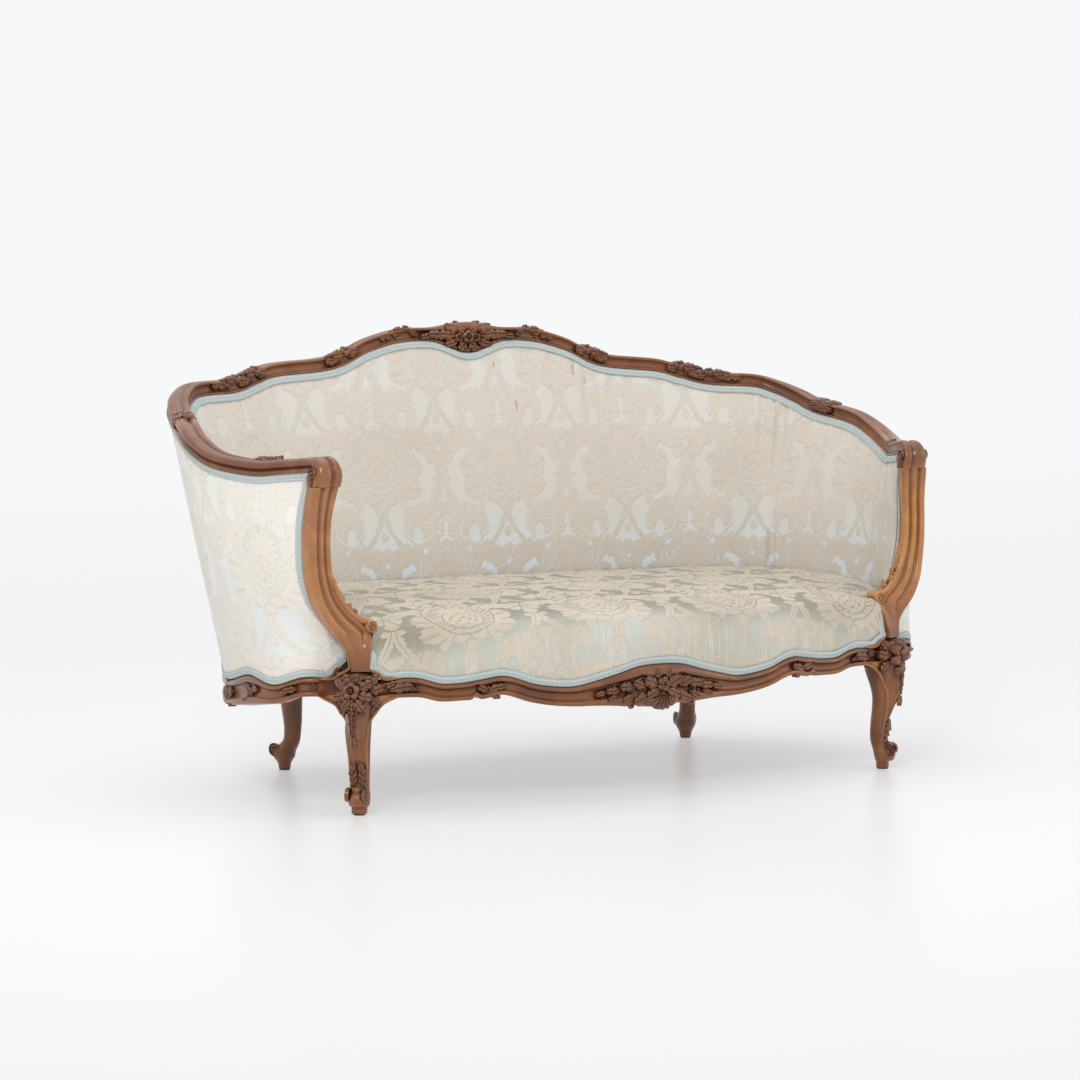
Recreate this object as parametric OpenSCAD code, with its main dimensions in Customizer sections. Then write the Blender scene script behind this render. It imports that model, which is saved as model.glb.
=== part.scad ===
// Cabriole sofa: a carved show-wood frame with a tight, sprung seat
// and a padded back that wraps round into the arms.
// X runs along the sofa, Y runs from front to back, Z is up.
// The origin is on the floor under the middle of the sofa.

/* [Overall] */
// Width across the arms where they bow out most
sofa_w = 1760; // [1680:1:1860]
// Depth from the carved shell in front to the outer face of the crest rail
sofa_d = 928; // [880:1:980]
// Height from the floor to the top of the crest carving
sofa_h = 994; // [940:1:1050]
// Height of an arm at its front end
arm_h = 732; // [700:1:770]
// Height of the crown of the seat
seat_h = 418; // [405:1:440]

/* [Legs] */
// Distance between the centres of the front feet
leg_spacing = 1300; // [1250:1:1350]
// Distance between the centres of the rear feet
rear_leg_spacing = 1052; // [1000:1:1100]
// Distance from the front feet back to the rear feet
leg_depth = 637; // [610:1:660]
// How far a rear foot stands out from the block above it
rear_splay = 22; // [16:1:28]
// Height of the joint between a front leg and the arm support on it
leg_h = 297; // [280:1:315]
// Side of the square block at the top of each leg
leg_block_w = 64; // [56:1:72]
// How far a knee stands out from the middle of its foot, along the diagonal
knee_out = 41; // [34:1:48]
// Thickness of a leg at the ankle
ankle_w = 40; // [34:1:46]
// Diameter of the glide under each foot
glide_d = 24; // [20:1:28]
// Thickness of the glide
glide_t = 3; // [2:0.5:5]

/* [Show wood] */
// Width of the top rail, from its inside face to its outside face
rail_w = 46; // [40:1:52]
// Height of the plain moulded face of the top rail
rail_t = 31; // [27:1:36]
// Width of an arm support at its narrowest above the seat
post_w = 50; // [44:1:56]
// Thickness of an arm support from front to back
post_d = 38; // [34:1:42]
// How far an arm support leans out beyond its leg
post_lean = 75; // [60:1:90]
// How far the neck of an arm support comes forward of the leg's middle
neck_forward = 28; // [20:1:32]
// Thickness of the seat rails
seat_rail_w = 46; // [40:1:52]
// How far the middle of the front rail bows forward of the feet
front_bow = 116; // [90:1:140]
// How far each side rail bows out beyond the front feet
side_bow = 134; // [115:1:145]
// How far the back rail bows out behind the blocks of the rear legs
back_bow = 43; // [30:1:56]
// How far the nose of an arm rail stands forward of its support
nose_proud = 11; // [6:1:14]
// How far the crest carving rises over the top rail
crest_rise = 15; // [8:1:18]
// How far the crest carving hangs below the plain rail face
crest_drop = 26; // [16:1:32]
// Half the length of the crest carving
crest_half_l = 105; // [80:1:130]
// How far the shell on the front rail stands out and hangs down
shell_proud = 9; // [5:1:14]
// Half the length of the shell carving
shell_half_l = 120; // [90:1:150]

/* [Hidden frame] */
// Thickness of the stay rails inside the back
frame_t = 24; // [20:1:28]
// Thickness of the uprights inside the back
upright_t = 18; // [16:1:20]
// Width of the uprights inside the back
upright_w = 42; // [36:1:50]
// Height of the stay rails behind the seat's edge
stay_h = 36; // [28:1:42]
// Width of a seat brace
brace_w = 44; // [36:1:52]
// Height of a seat brace
brace_h = 26; // [20:1:32]
// Width of the corner blocks along the rails
corner_l = 62; // [50:1:74]
// Height of the corner blocks
corner_h = 15; // [12:1:16]

/* [Upholstery] */
// Thickness of the stuffing of the back and arms
pad_t = 30; // [24:1:34]
// Thickness of the outside covering with its lining
cover_t = 3; // [2:0.5:4]
// Depth that a covering is set back from the faces of the rails
cover_set = 4; // [3:0.5:6]
// How far the seat rises from its front edge to its crown
seat_crown = 32; // [24:1:40]
// Thickness of the seat stuffing over the springs
seat_pad_t = 52; // [44:1:60]
// Width of the braid along the wood
gimp_w = 15; // [12:1:18]
// Thickness of the braid
gimp_t = 2.4; // [1.6:0.2:3.2]

/* [Springs] */
// Diameter of a seat spring at its ends
spring_d = 92; // [80:1:100]
// Diameter of a seat spring at its waist
spring_waist_d = 58; // [48:1:66]
// Diameter of the spring wire
wire_d = 3.6; // [3:0.2:4.4]
// Turns in a seat spring
spring_turns = 3; // [3:1:5]
// Springs along the seat
spring_columns = 6; // [5:1:7]
// Rows of springs from front to back
spring_rows = 3; // [2:1:3]
// Width of the jute webbing
web_w = 52; // [44:1:60]
// Thickness of the webbing and of the spring canvas
web_t = 1.6; // [1.2:0.2:2.4]

/* [Hidden] */

walnut = "#8a5a35";
walnut_dark = "#6e4630";
beech = "#c9a36c";
damask = "#d5d3c8";
damask_pale = "#e6e2d8";
braid = "#bcd3d3";
linen = "#b9a27c";
jute = "#a98a5c";
steel = "#8d9095";
iron = "#55524e";

// Clear gap between neighbouring pieces
fit_gap = 0.3;
// Sides of the round pieces
round_fn = 16;
// Small step along a path for taking its direction
step_share = 0.02;

leg_x = leg_spacing / 2;
rear_leg_x = rear_leg_spacing / 2;
block_half = leg_block_w / 2;
leg_top_gap = glide_t + fit_gap;
rail_top_h = sofa_h - crest_rise;
top_half_w = sofa_w / 2 - rail_w / 2;
// The feet's line, so that the sofa's depth lies evenly about the origin
feet_y = front_bow + shell_proud - sofa_d / 2;
top_back_y = sofa_d - front_bow - shell_proud - rail_w / 2;
side_x = leg_x + side_bow;
seat_edge_h = seat_h - seat_crown;
canvas_top_h = seat_h - seat_pad_t;
// Height of a rear leg's pattern over that of a front leg
rear_leg_share = 0.882;
rear_leg_h = leg_h * rear_leg_share;
// Heading of a rear foot from the block above it
rear_heading_angle = 68;
rear_way = [cos(rear_heading_angle), sin(rear_heading_angle)];
rear_block = [rear_leg_x, leg_depth] - rear_splay * rear_way;
rear_block_share = 0.88;

// Stations round the back and one arm, from the middle of the back to the arm support.
// The last station, the stations of the rear leg, of the corner joint and of the arm joint.
last_station = 17;
leg_station = 6;
corner_station = 7.5;
arm_station = 11.5;
side_upright_station = 10.6;
nose_station = last_station - 0.2;
// Stations from one ring to the next of the rails, stuffing, coverings and braid, closer at the crest
ring_stations = 0.5;
crest_stations = 1;
wall_marks = concat(
    [for (u = [0 : ring_stations / 2 : crest_stations - ring_stations / 2]) u],
    [for (u = [crest_stations : ring_stations : last_station - ring_stations]) u],
    [nose_station, last_station]
);

// Top rail's centre line: across, back and up, the last as a rise from the arm's front end to the crest
top_shares = [
    [0, 0.997, 1.000], [0.182, 1.000, 1.004], [0.298, 0.992, 0.915], [0.379, 0.986, 0.789],
    [0.449, 0.982, 0.737], [0.589, 0.967, 0.696], [0.665, 0.937, 0.628], [0.735, 0.896, 0.567],
    [0.852, 0.845, 0.543], [0.904, 0.795, 0.482], [0.938, 0.731, 0.401], [0.959, 0.647, 0.304],
    [0.991, 0.513, 0.219], [1.000, 0.429, 0.121], [0.985, 0.327, 0.008], [0.933, 0.209, -0.045],
    [0.889, 0.131, -0.028]
];
// Back seat rail up to the rear leg: across to the leg, and back over the bow
back_rail_shares = [
    [0, 1], [0.283, 0.97], [0.458, 0.886], [0.581, 0.77], [0.683, 0.63], [0.879, 0.286], [1, 0]
];
// Side rail's rear part: out from the rear block to the widest place, and back to the rear feet
side_rear_shares = [
    [0.215, 0.942], [0.497, 0.889], [0.662, 0.832], [0.720, 0.785], [0.786, 0.722], [0.895, 0.604],
    [0.977, 0.471]
];
// Side rail's front part: out over its bow, and back to the rear feet
side_front_shares = [[1, 0.314], [0.918, 0.176], [0.657, 0.102]];
// The rail's end beside the front leg: out over its bow
side_end_share = 0.127;
// Heights of the top and bottom edges of the back and side rails at each station
seat_top_shares = [
    0.842, 0.842, 0.842, 0.842, 0.842, 0.842, 0.842, 0.842, 0.842, 0.842, 0.842, 0.835, 0.825, 0.857, 0.926,
    0.886, 0.950, 0.935
];
seat_bottom_shares = [
    0.663, 0.663, 0.663, 0.663, 0.663, 0.663, 0.663, 0.663, 0.660, 0.650, 0.645, 0.640, 0.645, 0.672, 0.718,
    0.757, 0.815, 0.805
];
// Front rail: along its half length, forward over its bow, height of its top edge and of its bottom edge
front_shares = [
    [0, 1.000, 0.956, 0.653], [0.086, 1.000, 0.946, 0.657], [0.162, 0.974, 0.904, 0.673],
    [0.243, 0.930, 0.862, 0.683], [0.325, 0.875, 0.828, 0.687], [0.409, 0.825, 0.838, 0.704],
    [0.479, 0.785, 0.865, 0.734], [0.536, 0.740, 0.907, 0.774], [0.589, 0.690, 0.926, 0.795],
    [0.647, 0.630, 0.909, 0.771], [0.720, 0.560, 0.889, 0.767], [0.793, 0.480, 0.889, 0.766],
    [0.858, 0.400, 0.929, 0.798], [0.909, 0.335, 0.939, 0.803], [0.955, 0.280, 0.929, 0.800],
    [1, 0.220, 0.909, 0.795]
];
// Arm support from its top joint down to the neck: rise over the leg, lean, width, forward move, inward turn
post_shares = [
    [0.862, 0.98, 1.18, 0.52, 8.5], [0.789, 1.024, 1.11, 0.28, 12], [0.697, 1.06, 1.02, 0.10, 16],
    [0.582, 1.08, 1.00, 0.10, 16], [0.478, 1.053, 1.04, 0.10, 16], [0.386, 0.953, 1.14, 0.14, 15],
    [0.315, 0.813, 1.28, 0.29, 14], [0.251, 0.56, 1.52, 0.46, 12], [0.209, 0.327, 1.78, 0.57, 10],
    [0.179, 0.153, 1.90, 0.64, 8], [0.149, 0.14, 1.58, 0.71, 2], [0.117, 0.16, 1.16, 0.79, -8],
    [0.080, 0.127, 0.90, 0.86, -15], [0.032, 0.127, 0.76, 0.96, -20], [0, 0.133, 0.76, 1.00, -24]
];
// Leg from its top joint to the foot: height, knee side, inner side, width, and roundness of the section
leg_shares = [
    [1.000, 0.63, 0.27, 1.00, 1.8], [0.975, 0.93, 0.66, 1.55, 1.4], [0.956, 1.00, 1.00, 2.26, 1.2],
    [0.850, 1.02, 1.00, 2.26, 1.2], [0.720, 1.00, 1.00, 2.26, 1.2], [0.690, 1.00, 0.84, 1.80, 1.3],
    [0.650, 1.00, 0.68, 1.35, 1.5], [0.585, 0.98, 0.54, 1.20, 1.8], [0.530, 0.76, 0.54, 1.10, 2],
    [0.434, 0.54, 0.56, 1.02, 2], [0.340, 0.27, 0.62, 1.00, 2], [0.245, 0.16, 0.64, 1.00, 2],
    [0.190, 0.22, 0.60, 1.00, 2], [0.155, 0.49, 0.53, 1.07, 2], [0.115, 0.71, 0.46, 1.15, 2],
    [0.060, 0.61, 0.38, 1.10, 2], [0.020, 0.37, 0.31, 0.80, 2], [0.000, 0.32, 0.29, 0.72, 2]
];
// Rear leg under the rail, down to the foot: height, move along its heading, length and width
rear_leg_shares = [
    [0.740, -1.00, 1.35, 1.35], [0.687, -1.00, 1.30, 1.28], [0.588, -1.00, 1.25, 1.20],
    [0.420, -1.16, 1.08, 1.00], [0.336, -1.15, 0.98, 0.95], [0.252, -1.00, 0.98, 0.95],
    [0.198, -0.45, 1.25, 1.10], [0.153, 0.05, 1.42, 1.25], [0.099, 0.05, 1.25, 1.15],
    [0.050, 0.00, 0.76, 0.80], [0.000, 0.00, 0.66, 0.66]
];
leg_sides = 12;
leg_corners = [[1, 1], [-1, 1], [-1, -1], [1, -1]];

// Moulded section of the top rail: across from inside to outside, and down from the top
rail_section_shares = [
    [-0.40, -1.00], [-0.50, -0.88], [-0.50, -0.70], [-0.42, -0.56], [-0.46, -0.30], [-0.34, -0.07],
    [-0.12, 0.00], [0.12, 0.00], [0.34, -0.07], [0.46, -0.30], [0.42, -0.56], [0.50, -0.70],
    [0.50, -0.88], [0.40, -1.00]
];
// Moulded section of a seat rail: out from its back face, and up
seat_section_shares = [
    [0, 0], [0.78, 0], [0.97, 0.05], [1.00, 0.15], [0.92, 0.26], [0.80, 0.42], [0.80, 0.58],
    [0.90, 0.72], [1.00, 0.80], [0.99, 0.90], [0.86, 1.00], [0, 1]
];
plain_section_shares = [[0, 0], [0.92, 0], [1, 0.06], [1, 0.94], [0.92, 1], [0, 1]];
// Fluted section of an arm support: across, and back from its face
post_section_shares = [
    [-0.50, 0.30], [-0.46, 0.10], [-0.34, 0.02], [-0.20, 0.12], [-0.10, 0.00], [0.10, 0.00],
    [0.20, 0.12], [0.34, 0.02], [0.46, 0.10], [0.50, 0.30], [0.44, 1.00], [0.15, 1.00], [-0.15, 1.00],
    [-0.44, 1.00]
];

// Paths

function blend(a, b, t) = a + (b - a) * t;
function flip(p) = [for (i = [0 : len(p) - 1]) i == 0 ? -p[0] : p[i]];
function unit(v) = v / norm(v);
function curve(a, b, c, d, t) =
    b + t * ((c - a) / 2 + t * ((2 * a - 5 * b + 4 * c - d) / 2 + t * (3 * b - a - 3 * c + d) / 2));
// A row past either end: mirrored where the path crosses the middle, else carried straight on
function row(rows, i) =
    i >= len(rows) ? 2 * rows[len(rows) - 1] - rows[len(rows) - 2] : i >= 0 ? rows[i]
    : rows[0][0] == 0 ? flip(rows[-i]) : 2 * rows[0] - rows[1];
function along(rows, u) =
    let (i = min(max(floor(u), 0), len(rows) - 2))
    curve(row(rows, i - 1), rows[i], rows[i + 1], row(rows, i + 2), u - i);
function along_both(rows, u) = u < 0 ? flip(along(rows, -u)) : along(rows, u);
function bump(distance, reach) = abs(distance) >= reach ? 0 : (1 + cos(180 * distance / reach)) / 2;

// Arm support: centre of its face, width, turn, for a rise share
post_rows = [for (p = post_shares) [
    leg_x + post_lean * p[1], -neck_forward * p[3], leg_h + (arm_h - leg_h) * p[0], post_w * p[2], p[4]
]];
post_joint_h = post_rows[0][2];
function post_at_height(z) =
    let (last_row = len(post_rows) - 1,
        below = [for (i = [0 : last_row]) if (post_rows[i][2] >= z) i],
        i = min(len(below) == 0 ? 0 : below[len(below) - 1], last_row - 1),
        span = post_rows[i][2] - post_rows[i + 1][2],
        t = min(max((post_rows[i][2] - z) / span, 0), 1))
    blend(post_rows[i], post_rows[i + 1], t);
function post_out(turn) = [cos(turn), -sin(turn), 0];
function post_back(turn) = [sin(turn), cos(turn), 0];

// The end of the wall, on the back of the arm support, with room for the turned edges of the covering
edge_room = 2.5;
function wall_end(z) =
    let (p = post_at_height(z)) [p[0], p[1]] + (post_d + edge_room) * [sin(p[4]), cos(p[4])];

top_rows = concat(
    [for (p = top_shares) [p[0] * top_half_w, p[1] * top_back_y, arm_h + p[2] * (rail_top_h - arm_h)]],
    [concat(wall_end(post_joint_h), [arm_h])]
);
seat_rows = [for (i = [0 : last_station])
    let (z_top = seat_top_shares[i] * leg_h, z_bottom = seat_bottom_shares[i] * leg_h,
        front_i = i - last_station + len(side_front_shares),
        plan = i <= leg_station
            ? [back_rail_shares[i][0] * rear_block[0], rear_block[1] + back_rail_shares[i][1] * back_bow]
            : front_i < 0 ? let (p = side_rear_shares[i - leg_station - 1])
                [blend(rear_block[0], side_x, p[0]), p[1] * leg_depth]
            : i < last_station ? let (p = side_front_shares[front_i])
                [leg_x + p[0] * side_bow, p[1] * leg_depth]
            : [leg_x + side_end_share * side_bow, block_half + fit_gap])
    [plan[0], plan[1], z_top, z_bottom]];

function top_at(u) = along_both(top_rows, u);
function seat_at(u) = along_both(seat_rows, u);
function plan_dir(rows, u) =
    let (ahead = along_both(rows, min(u + step_share, last_station)),
        v = ahead - along_both(rows, max(u - step_share, -last_station)))
    unit([v[0], v[1]]);
function outward(rows, u) = let (d = plan_dir(rows, u)) [-d[1], d[0], 0];

// How much the top rail's face grows at the crest
function crest_at(u) = bump(top_at(u)[0], crest_half_l);
function rail_face(u) = rail_t + crest_drop * crest_at(u);
function rail_under(u) = top_at(u)[2] - rail_face(u);

// The wall of back and arms: a point at a station and height, moved outward by a distance.
// Near its front end it leans over and turns to lie on the back of the arm support.
follow_stations = 3;
low_reach_share = 0.4;
function follow_share(u, z) =
    let (high = min(max((z - leg_h) / (post_joint_h - leg_h), 0), 1))
    bump(last_station - abs(u), follow_stations * blend(low_reach_share, 1, sin(90 * high)));
// Over the leg's block the wall comes forward to the arm support
function on_post_share(z) = min(max((z - leg_h) / frame_t, 0), 1);
function wall_at(u, z, out) =
    let (s = seat_at(u), t = top_at(u), h = (z - s[2]) / (t[2] - rail_t - s[2]),
        plain = [blend(s[0], t[0], h), blend(s[1], t[1], h)],
        side = u < 0 ? -1 : 1,
        e = seat_rows[last_station],
        f = top_rows[last_station],
        g = (z - e[2]) / (f[2] - rail_t - e[2]),
        end_plain = [blend(e[0], f[0], g), blend(e[1], f[1], g)],
        over = on_post_share(z),
        z_post = max(z, leg_h),
        follow = follow_share(u, z),
        shift = (blend([e[0], e[1]], wall_end(z_post), over) - end_plain) * follow,
        end_out = blend([1, 0, 0], post_out(post_at_height(z_post)[4]), over),
        plain_out = blend(outward(seat_rows, u), outward(top_rows, u), h),
        n = unit(blend(plain_out, [side * end_out[0], end_out[1], 0], follow)))
    [plain[0] + side * shift[0] + out * n[0], plain[1] + shift[1] + out * n[1], z];
function marks_between(from, to) = concat(
    [from],
    [for (u = turned(wall_marks)) if (u > 0 && -u > from + step_share && -u < to - step_share) -u],
    [for (u = wall_marks) if (u > from + step_share && u < to - step_share) u],
    [to]
);

// Front rail: a point of its face at a share of its half length
front_half_l = leg_x - block_half - fit_gap;
front_rows = [for (p = front_shares)
    [p[0] * front_half_l, -p[1] * front_bow, p[2] * leg_h, p[3] * leg_h]];
front_last = len(front_rows) - 1;
function front_at(u) = along_both(front_rows, u);
function front_out(u) =
    let (v = front_at(min(u + step_share, front_last)) - front_at(max(u - step_share, -front_last)),
        d = unit([v[0], v[1]]))
    [d[1], -d[0], 0];
function shell_at(u) = bump(front_at(u)[0], shell_half_l);
// Where the inner faces of the seat rails lie: the front and back rails at a place across the sofa,
// and the side rails at a place from front to back
function front_inner_at(u) = front_at(u) - front_out(u)[0] * [seat_rail_w, 0, 0, 0]
    - front_out(u)[1] * [0, seat_rail_w, 0, 0];
function seat_inner_at(u) = seat_at(u) - seat_rail_out(u)[0] * [seat_rail_w / 2, 0, 0, 0]
    - seat_rail_out(u)[1] * [0, seat_rail_w / 2, 0, 0];
search_share = 0.002;
function front_inner(u) = let (i = floor(u)) blend(front_inner_at(i), front_inner_at(i + 1), u - i);
function seat_inner(u) =
    let (i = floor(u / ring_stations) * ring_stations)
    blend(seat_inner_at(i), seat_inner_at(i + ring_stations), (u - i) / ring_stations);
function front_inner_y(x, low = 0, high = front_last) =
    let (mid = (low + high) / 2)
    high - low < search_share ? front_inner(mid)[1]
    : front_inner(mid)[0] < x ? front_inner_y(x, mid, high) : front_inner_y(x, low, mid);
function back_inner_y(x, low = 0, high = leg_station + 1) =
    let (mid = (low + high) / 2)
    high - low < search_share ? seat_inner(mid)[1]
    : seat_inner(mid)[0] < x ? back_inner_y(x, mid, high) : back_inner_y(x, low, mid);
function side_inner_x(y, low = leg_station, high = last_station) =
    let (mid = (low + high) / 2)
    high - low < search_share ? seat_inner(mid)[0]
    : seat_inner(mid)[1] > y ? side_inner_x(y, mid, high) : side_inner_x(y, low, mid);
// The station that lies a distance further along the seat's path
function further(u, distance, low, high) =
    let (mid = (low + high) / 2, d = plan_dir(seat_rows, u), v = seat_at(mid) - seat_at(u))
    abs(high - low) < search_share ? mid
    : abs(v[0] * d[0] + v[1] * d[1]) < distance ? further(u, distance, mid, high)
    : further(u, distance, low, mid);

// Solids

function middle(ring) = [for (k = [0 : 2]) let (v = [for (p = ring) p[k]]) (min(v) + max(v)) / 2];
// A four-sided face is divided along the diagonal that rises away from the middle of the back,
// so that neighbouring faces and both halves of the sofa are divided alike
function rise_away(p, q) = (q[2] - p[2]) * (abs(q[0]) - q[1] - abs(p[0]) + p[1]);
function strip_faces(points, rings, sides) = [for (i = [0 : rings - 2], j = [0 : sides - 1])
    let (a = i * sides + j, b = i * sides + (j + 1) % sides, c = b + sides, d = a + sides)
    each rise_away(points[a], points[c]) >= rise_away(points[b], points[d])
        ? [[a, b, c], [a, c, d]] : [[a, b, d], [b, c, d]]];
function total(rows) = [for (r = rows) 1] * rows;
function ring_normal(ring) =
    total([for (j = [0 : len(ring) - 1]) cross(ring[j], ring[(j + 1) % len(ring)])]);
function turned(rows) = [for (i = [len(rows) - 1 : -1 : 0]) rows[i]];
// The rings are taken in the order that turns the faces outward
function in_order(rows) =
    total([for (i = [0 : len(rows) - 2]) ring_normal(rows[i]) * (middle(rows[i + 1]) - middle(rows[i]))]) > 0
    ? turned(rows) : rows;
// How many walls the preview looks through
draw_depth = 6;
// A closed solid through rings of points, each end closed round its middle
module loft(rows) {
    rings = in_order(rows);
    sides = len(rings[0]);
    count = len(rings);
    first_middle = count * sides;
    points = concat([for (r = rings) each r], [middle(rings[0]), middle(rings[count - 1])]);
    start = [for (j = [0 : sides - 1]) [first_middle, (j + 1) % sides, j]];
    finish = [for (j = [0 : sides - 1])
        [first_middle + 1, (count - 1) * sides + j, (count - 1) * sides + (j + 1) % sides]];
    faces = concat(start, strip_faces(points, count, sides), finish);
    polyhedron(points = points, faces = faces, convexity = draw_depth);
}
// A closed solid through rings that run up one face and down the other, as those of a bent sheet do
module sheet_loft(rows) {
    rings = in_order(rows);
    sides = len(rings[0]);
    count = len(rings);
    end = (count - 1) * sides;
    points = [for (r = rings) each r];
    rungs = [for (j = [0 : sides / 2 - 2]) [j, j + 1, sides - 2 - j, sides - 1 - j]];
    start = [for (q = rungs) each [[q[0], q[2], q[1]], [q[0], q[3], q[2]]]];
    finish = [for (q = rungs) each
        [[end + q[0], end + q[1], end + q[2]], [end + q[0], end + q[2], end + q[3]]]];
    faces = concat(start, strip_faces(points, count, sides), finish);
    polyhedron(points = points, faces = faces, convexity = draw_depth);
}
module mirrored(is_left) {
    if (is_left) mirror([1, 0, 0]) children();
    else children();
}
module placed() {
    translate([0, feet_y, 0]) children();
}
function stations(from, to, count) = [for (i = [0 : count]) blend(from, to, i / count)];

// Show wood

function top_ring(u) =
    let (p = top_at(u), out = outward(top_rows, u), rise = crest_rise * crest_at(u),
        face = rail_face(u) + rise)
    [for (q = rail_section_shares) p + out * q[0] * rail_w + [0, 0, rise + q[1] * face]];

// Joints of the top rail leave a hair's breadth between the pieces
joint_share = 0.002;
module top_rail_centre() {
    color(walnut) placed() loft([for (u = marks_between(-corner_station, corner_station)) top_ring(u)]);
}
module top_rail_corner(is_left) {
    color(walnut) placed() mirrored(is_left)
        loft([for (u = marks_between(corner_station + joint_share, arm_station - joint_share)) top_ring(u)]);
}

// The nose of an arm rail turns over from its last station and runs down to meet the arm support
nose_steps = 6;
nose_r = post_d;
nose_end_share = 0.25;
function nose_ring(turn, drop, proud) =
    let (p = post_rows[0], back = post_back(p[4]), out = post_out(p[4]),
        depth = blend(rail_t, post_d, turn / 90),
        wide = blend(rail_w, p[3], turn / 90),
        centre = [p[0], p[1], arm_h - nose_r] + back * nose_r,
        radial = [0, 0, cos(turn)] - back * sin(turn))
    [for (q = rail_section_shares)
        centre + radial * (nose_r + q[1] * min(depth, nose_r - gimp_t) + (1 + q[1]) * proud * sin(turn))
            + out * q[0] * wide - [0, 0, drop]];
module arm_rail(is_left) {
    color(walnut_dark) placed() mirrored(is_left) loft(concat(
        [for (u = marks_between(arm_station + joint_share, nose_station)) top_ring(u)],
        [for (i = [0 : nose_steps]) nose_ring(90 * i / nose_steps, 0, nose_proud)],
        [nose_ring(90, arm_h - nose_r - post_joint_h - fit_gap, nose_proud * nose_end_share)]
    ));
}

function post_ring(p) = [for (q = post_section_shares)
    [p[0], p[1], p[2]] + post_out(p[4]) * q[0] * p[3] + post_back(p[4]) * q[1] * post_d];
module arm_support(is_left) {
    color(walnut) placed() mirrored(is_left) loft([for (p = post_rows)
        post_ring([p[0], p[1], max(p[2], leg_h + fit_gap), p[3], p[4]])]);
}

function power(v, e) = sign(v) * pow(abs(v), e);
// One level of a leg: the knee side is rounded, the inner side of the block is square to the rails
function leg_ring(p, height, foot, heading) =
    let (forward = [cos(heading), sin(heading), 0], across = [-sin(heading), cos(heading), 0],
        knee = knee_out * p[1], inner = block_half * sqrt(2) * p[2],
        half = min(p[3] * ankle_w / 2, block_half * sqrt(2)))
    [for (k = [0 : leg_sides - 1])
        let (a = 360 * k / leg_sides, c = cos(a), s = sin(a), e = c > 0 ? 2 / p[4] : p[3] > 2 ? 2 : 2 / p[4],
            reach = c > 0 ? knee : inner)
        foot + forward * power(c, e) * reach + across * power(s, e) * half
            + [0, 0, blend(leg_top_gap, height, p[0])]];
module front_leg(is_left) {
    color(walnut_dark) placed() mirrored(is_left)
        loft([for (p = leg_shares) leg_ring(p, leg_h, [leg_x, 0, 0], -45)]);
}

// The rear leg runs on as an upright inside the back. Its levels: a box, and a rounded ring.
function box_ring(centre, way, half_l, half_w) =
    let (across = [-way[1], way[0], 0], quarter = leg_sides / len(leg_corners))
    [for (k = [0 : leg_sides - 1])
        let (i = floor(k / quarter), q = blend(leg_corners[i], leg_corners[(i + 1) % len(leg_corners)],
            k / quarter - i))
        centre + way * q[0] * half_l + across * q[1] * half_w];
function rear_ring(p) =
    let (way = [rear_way[0], rear_way[1], 0], across = [-way[1], way[0], 0],
        centre = [rear_leg_x, leg_depth, blend(leg_top_gap, rear_leg_h, p[0])] + way * p[1] * rear_splay)
    [for (k = [0 : leg_sides - 1])
        let (a = 45 + 360 * k / leg_sides)
        centre + (way * cos(a) * p[2] + across * sin(a) * p[3]) * ankle_w / 2];
upright_out = cover_set / 4;
function upright_ring(z) =
    box_ring(wall_at(leg_station, z, upright_out), outward(seat_rows, leg_station), upright_t / 2,
        upright_w / 2);
// The rail over an upright slopes, so the upright's end is cut a little lower away from its middle
upright_slope_share = 0.35;
function lowered(ring) = [for (p = ring)
    [p[0], p[1], p[2] - abs(p[0] - wall_at(leg_station, p[2], 0)[0]) * upright_slope_share]];
upright_steps = 4;
module rear_leg(is_left) {
    at = seat_at(leg_station);
    top = rail_under(leg_station) - fit_gap * 2;
    half = block_half * rear_block_share;
    way = outward(seat_rows, leg_station);
    color(walnut_dark) placed() mirrored(is_left) loft(concat(
        [lowered(upright_ring(top))],
        [for (i = [upright_steps - 1 : -1 : 0]) upright_ring(blend(at[2], top, i / upright_steps))],
        [for (z = [at[2], at[3]]) box_ring([at[0], at[1], z], way, half, half)],
        [for (p = rear_leg_shares) rear_ring(p)]
    ));
}

// Beside the front leg the side rail turns to lie on the leg's block
function seat_rail_out(u) = unit(blend(outward(seat_rows, u), [1, 0, 0], bump(last_station - u, 1)));
// Clearance beside a straight piece that stands across a curved one
bow_gap = 1;
block_reach = block_half * rear_block_share + bow_gap;
function seat_rail_ring(u, section) =
    let (p = seat_at(u), out = seat_rail_out(u))
    [for (q = section)
        [p[0], p[1], blend(p[3], p[2], q[1])] + out * (q[0] - 1 / 2) * seat_rail_w];
module side_seat_rail(is_left) {
    start = further(leg_station, block_reach, leg_station, last_station);
    color(walnut) placed() mirrored(is_left)
        loft([for (u = marks_between(start, last_station)) seat_rail_ring(u, seat_section_shares)]);
}
module back_seat_rail() {
    stop = further(leg_station, block_reach, leg_station, 0);
    color(walnut) placed()
        loft([for (u = marks_between(-stop, stop)) seat_rail_ring(u, plain_section_shares)]);
}
function front_ring(u) =
    let (p = front_at(u), out = front_out(u), grow = shell_at(u) * shell_proud)
    [for (q = seat_section_shares)
        let (proud = q[0] > 1 / 2 ? grow * min(1, 2 * sin(180 * q[1])) : 0)
        [p[0], p[1], blend(p[3], p[2], q[1])] + out * ((q[0] - 1) * seat_rail_w + proud)];
module front_seat_rail() {
    color(walnut) placed() loft([for (u = stations(-front_last, front_last, front_last * 2)) front_ring(u)]);
}

// Hidden frame

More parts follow.
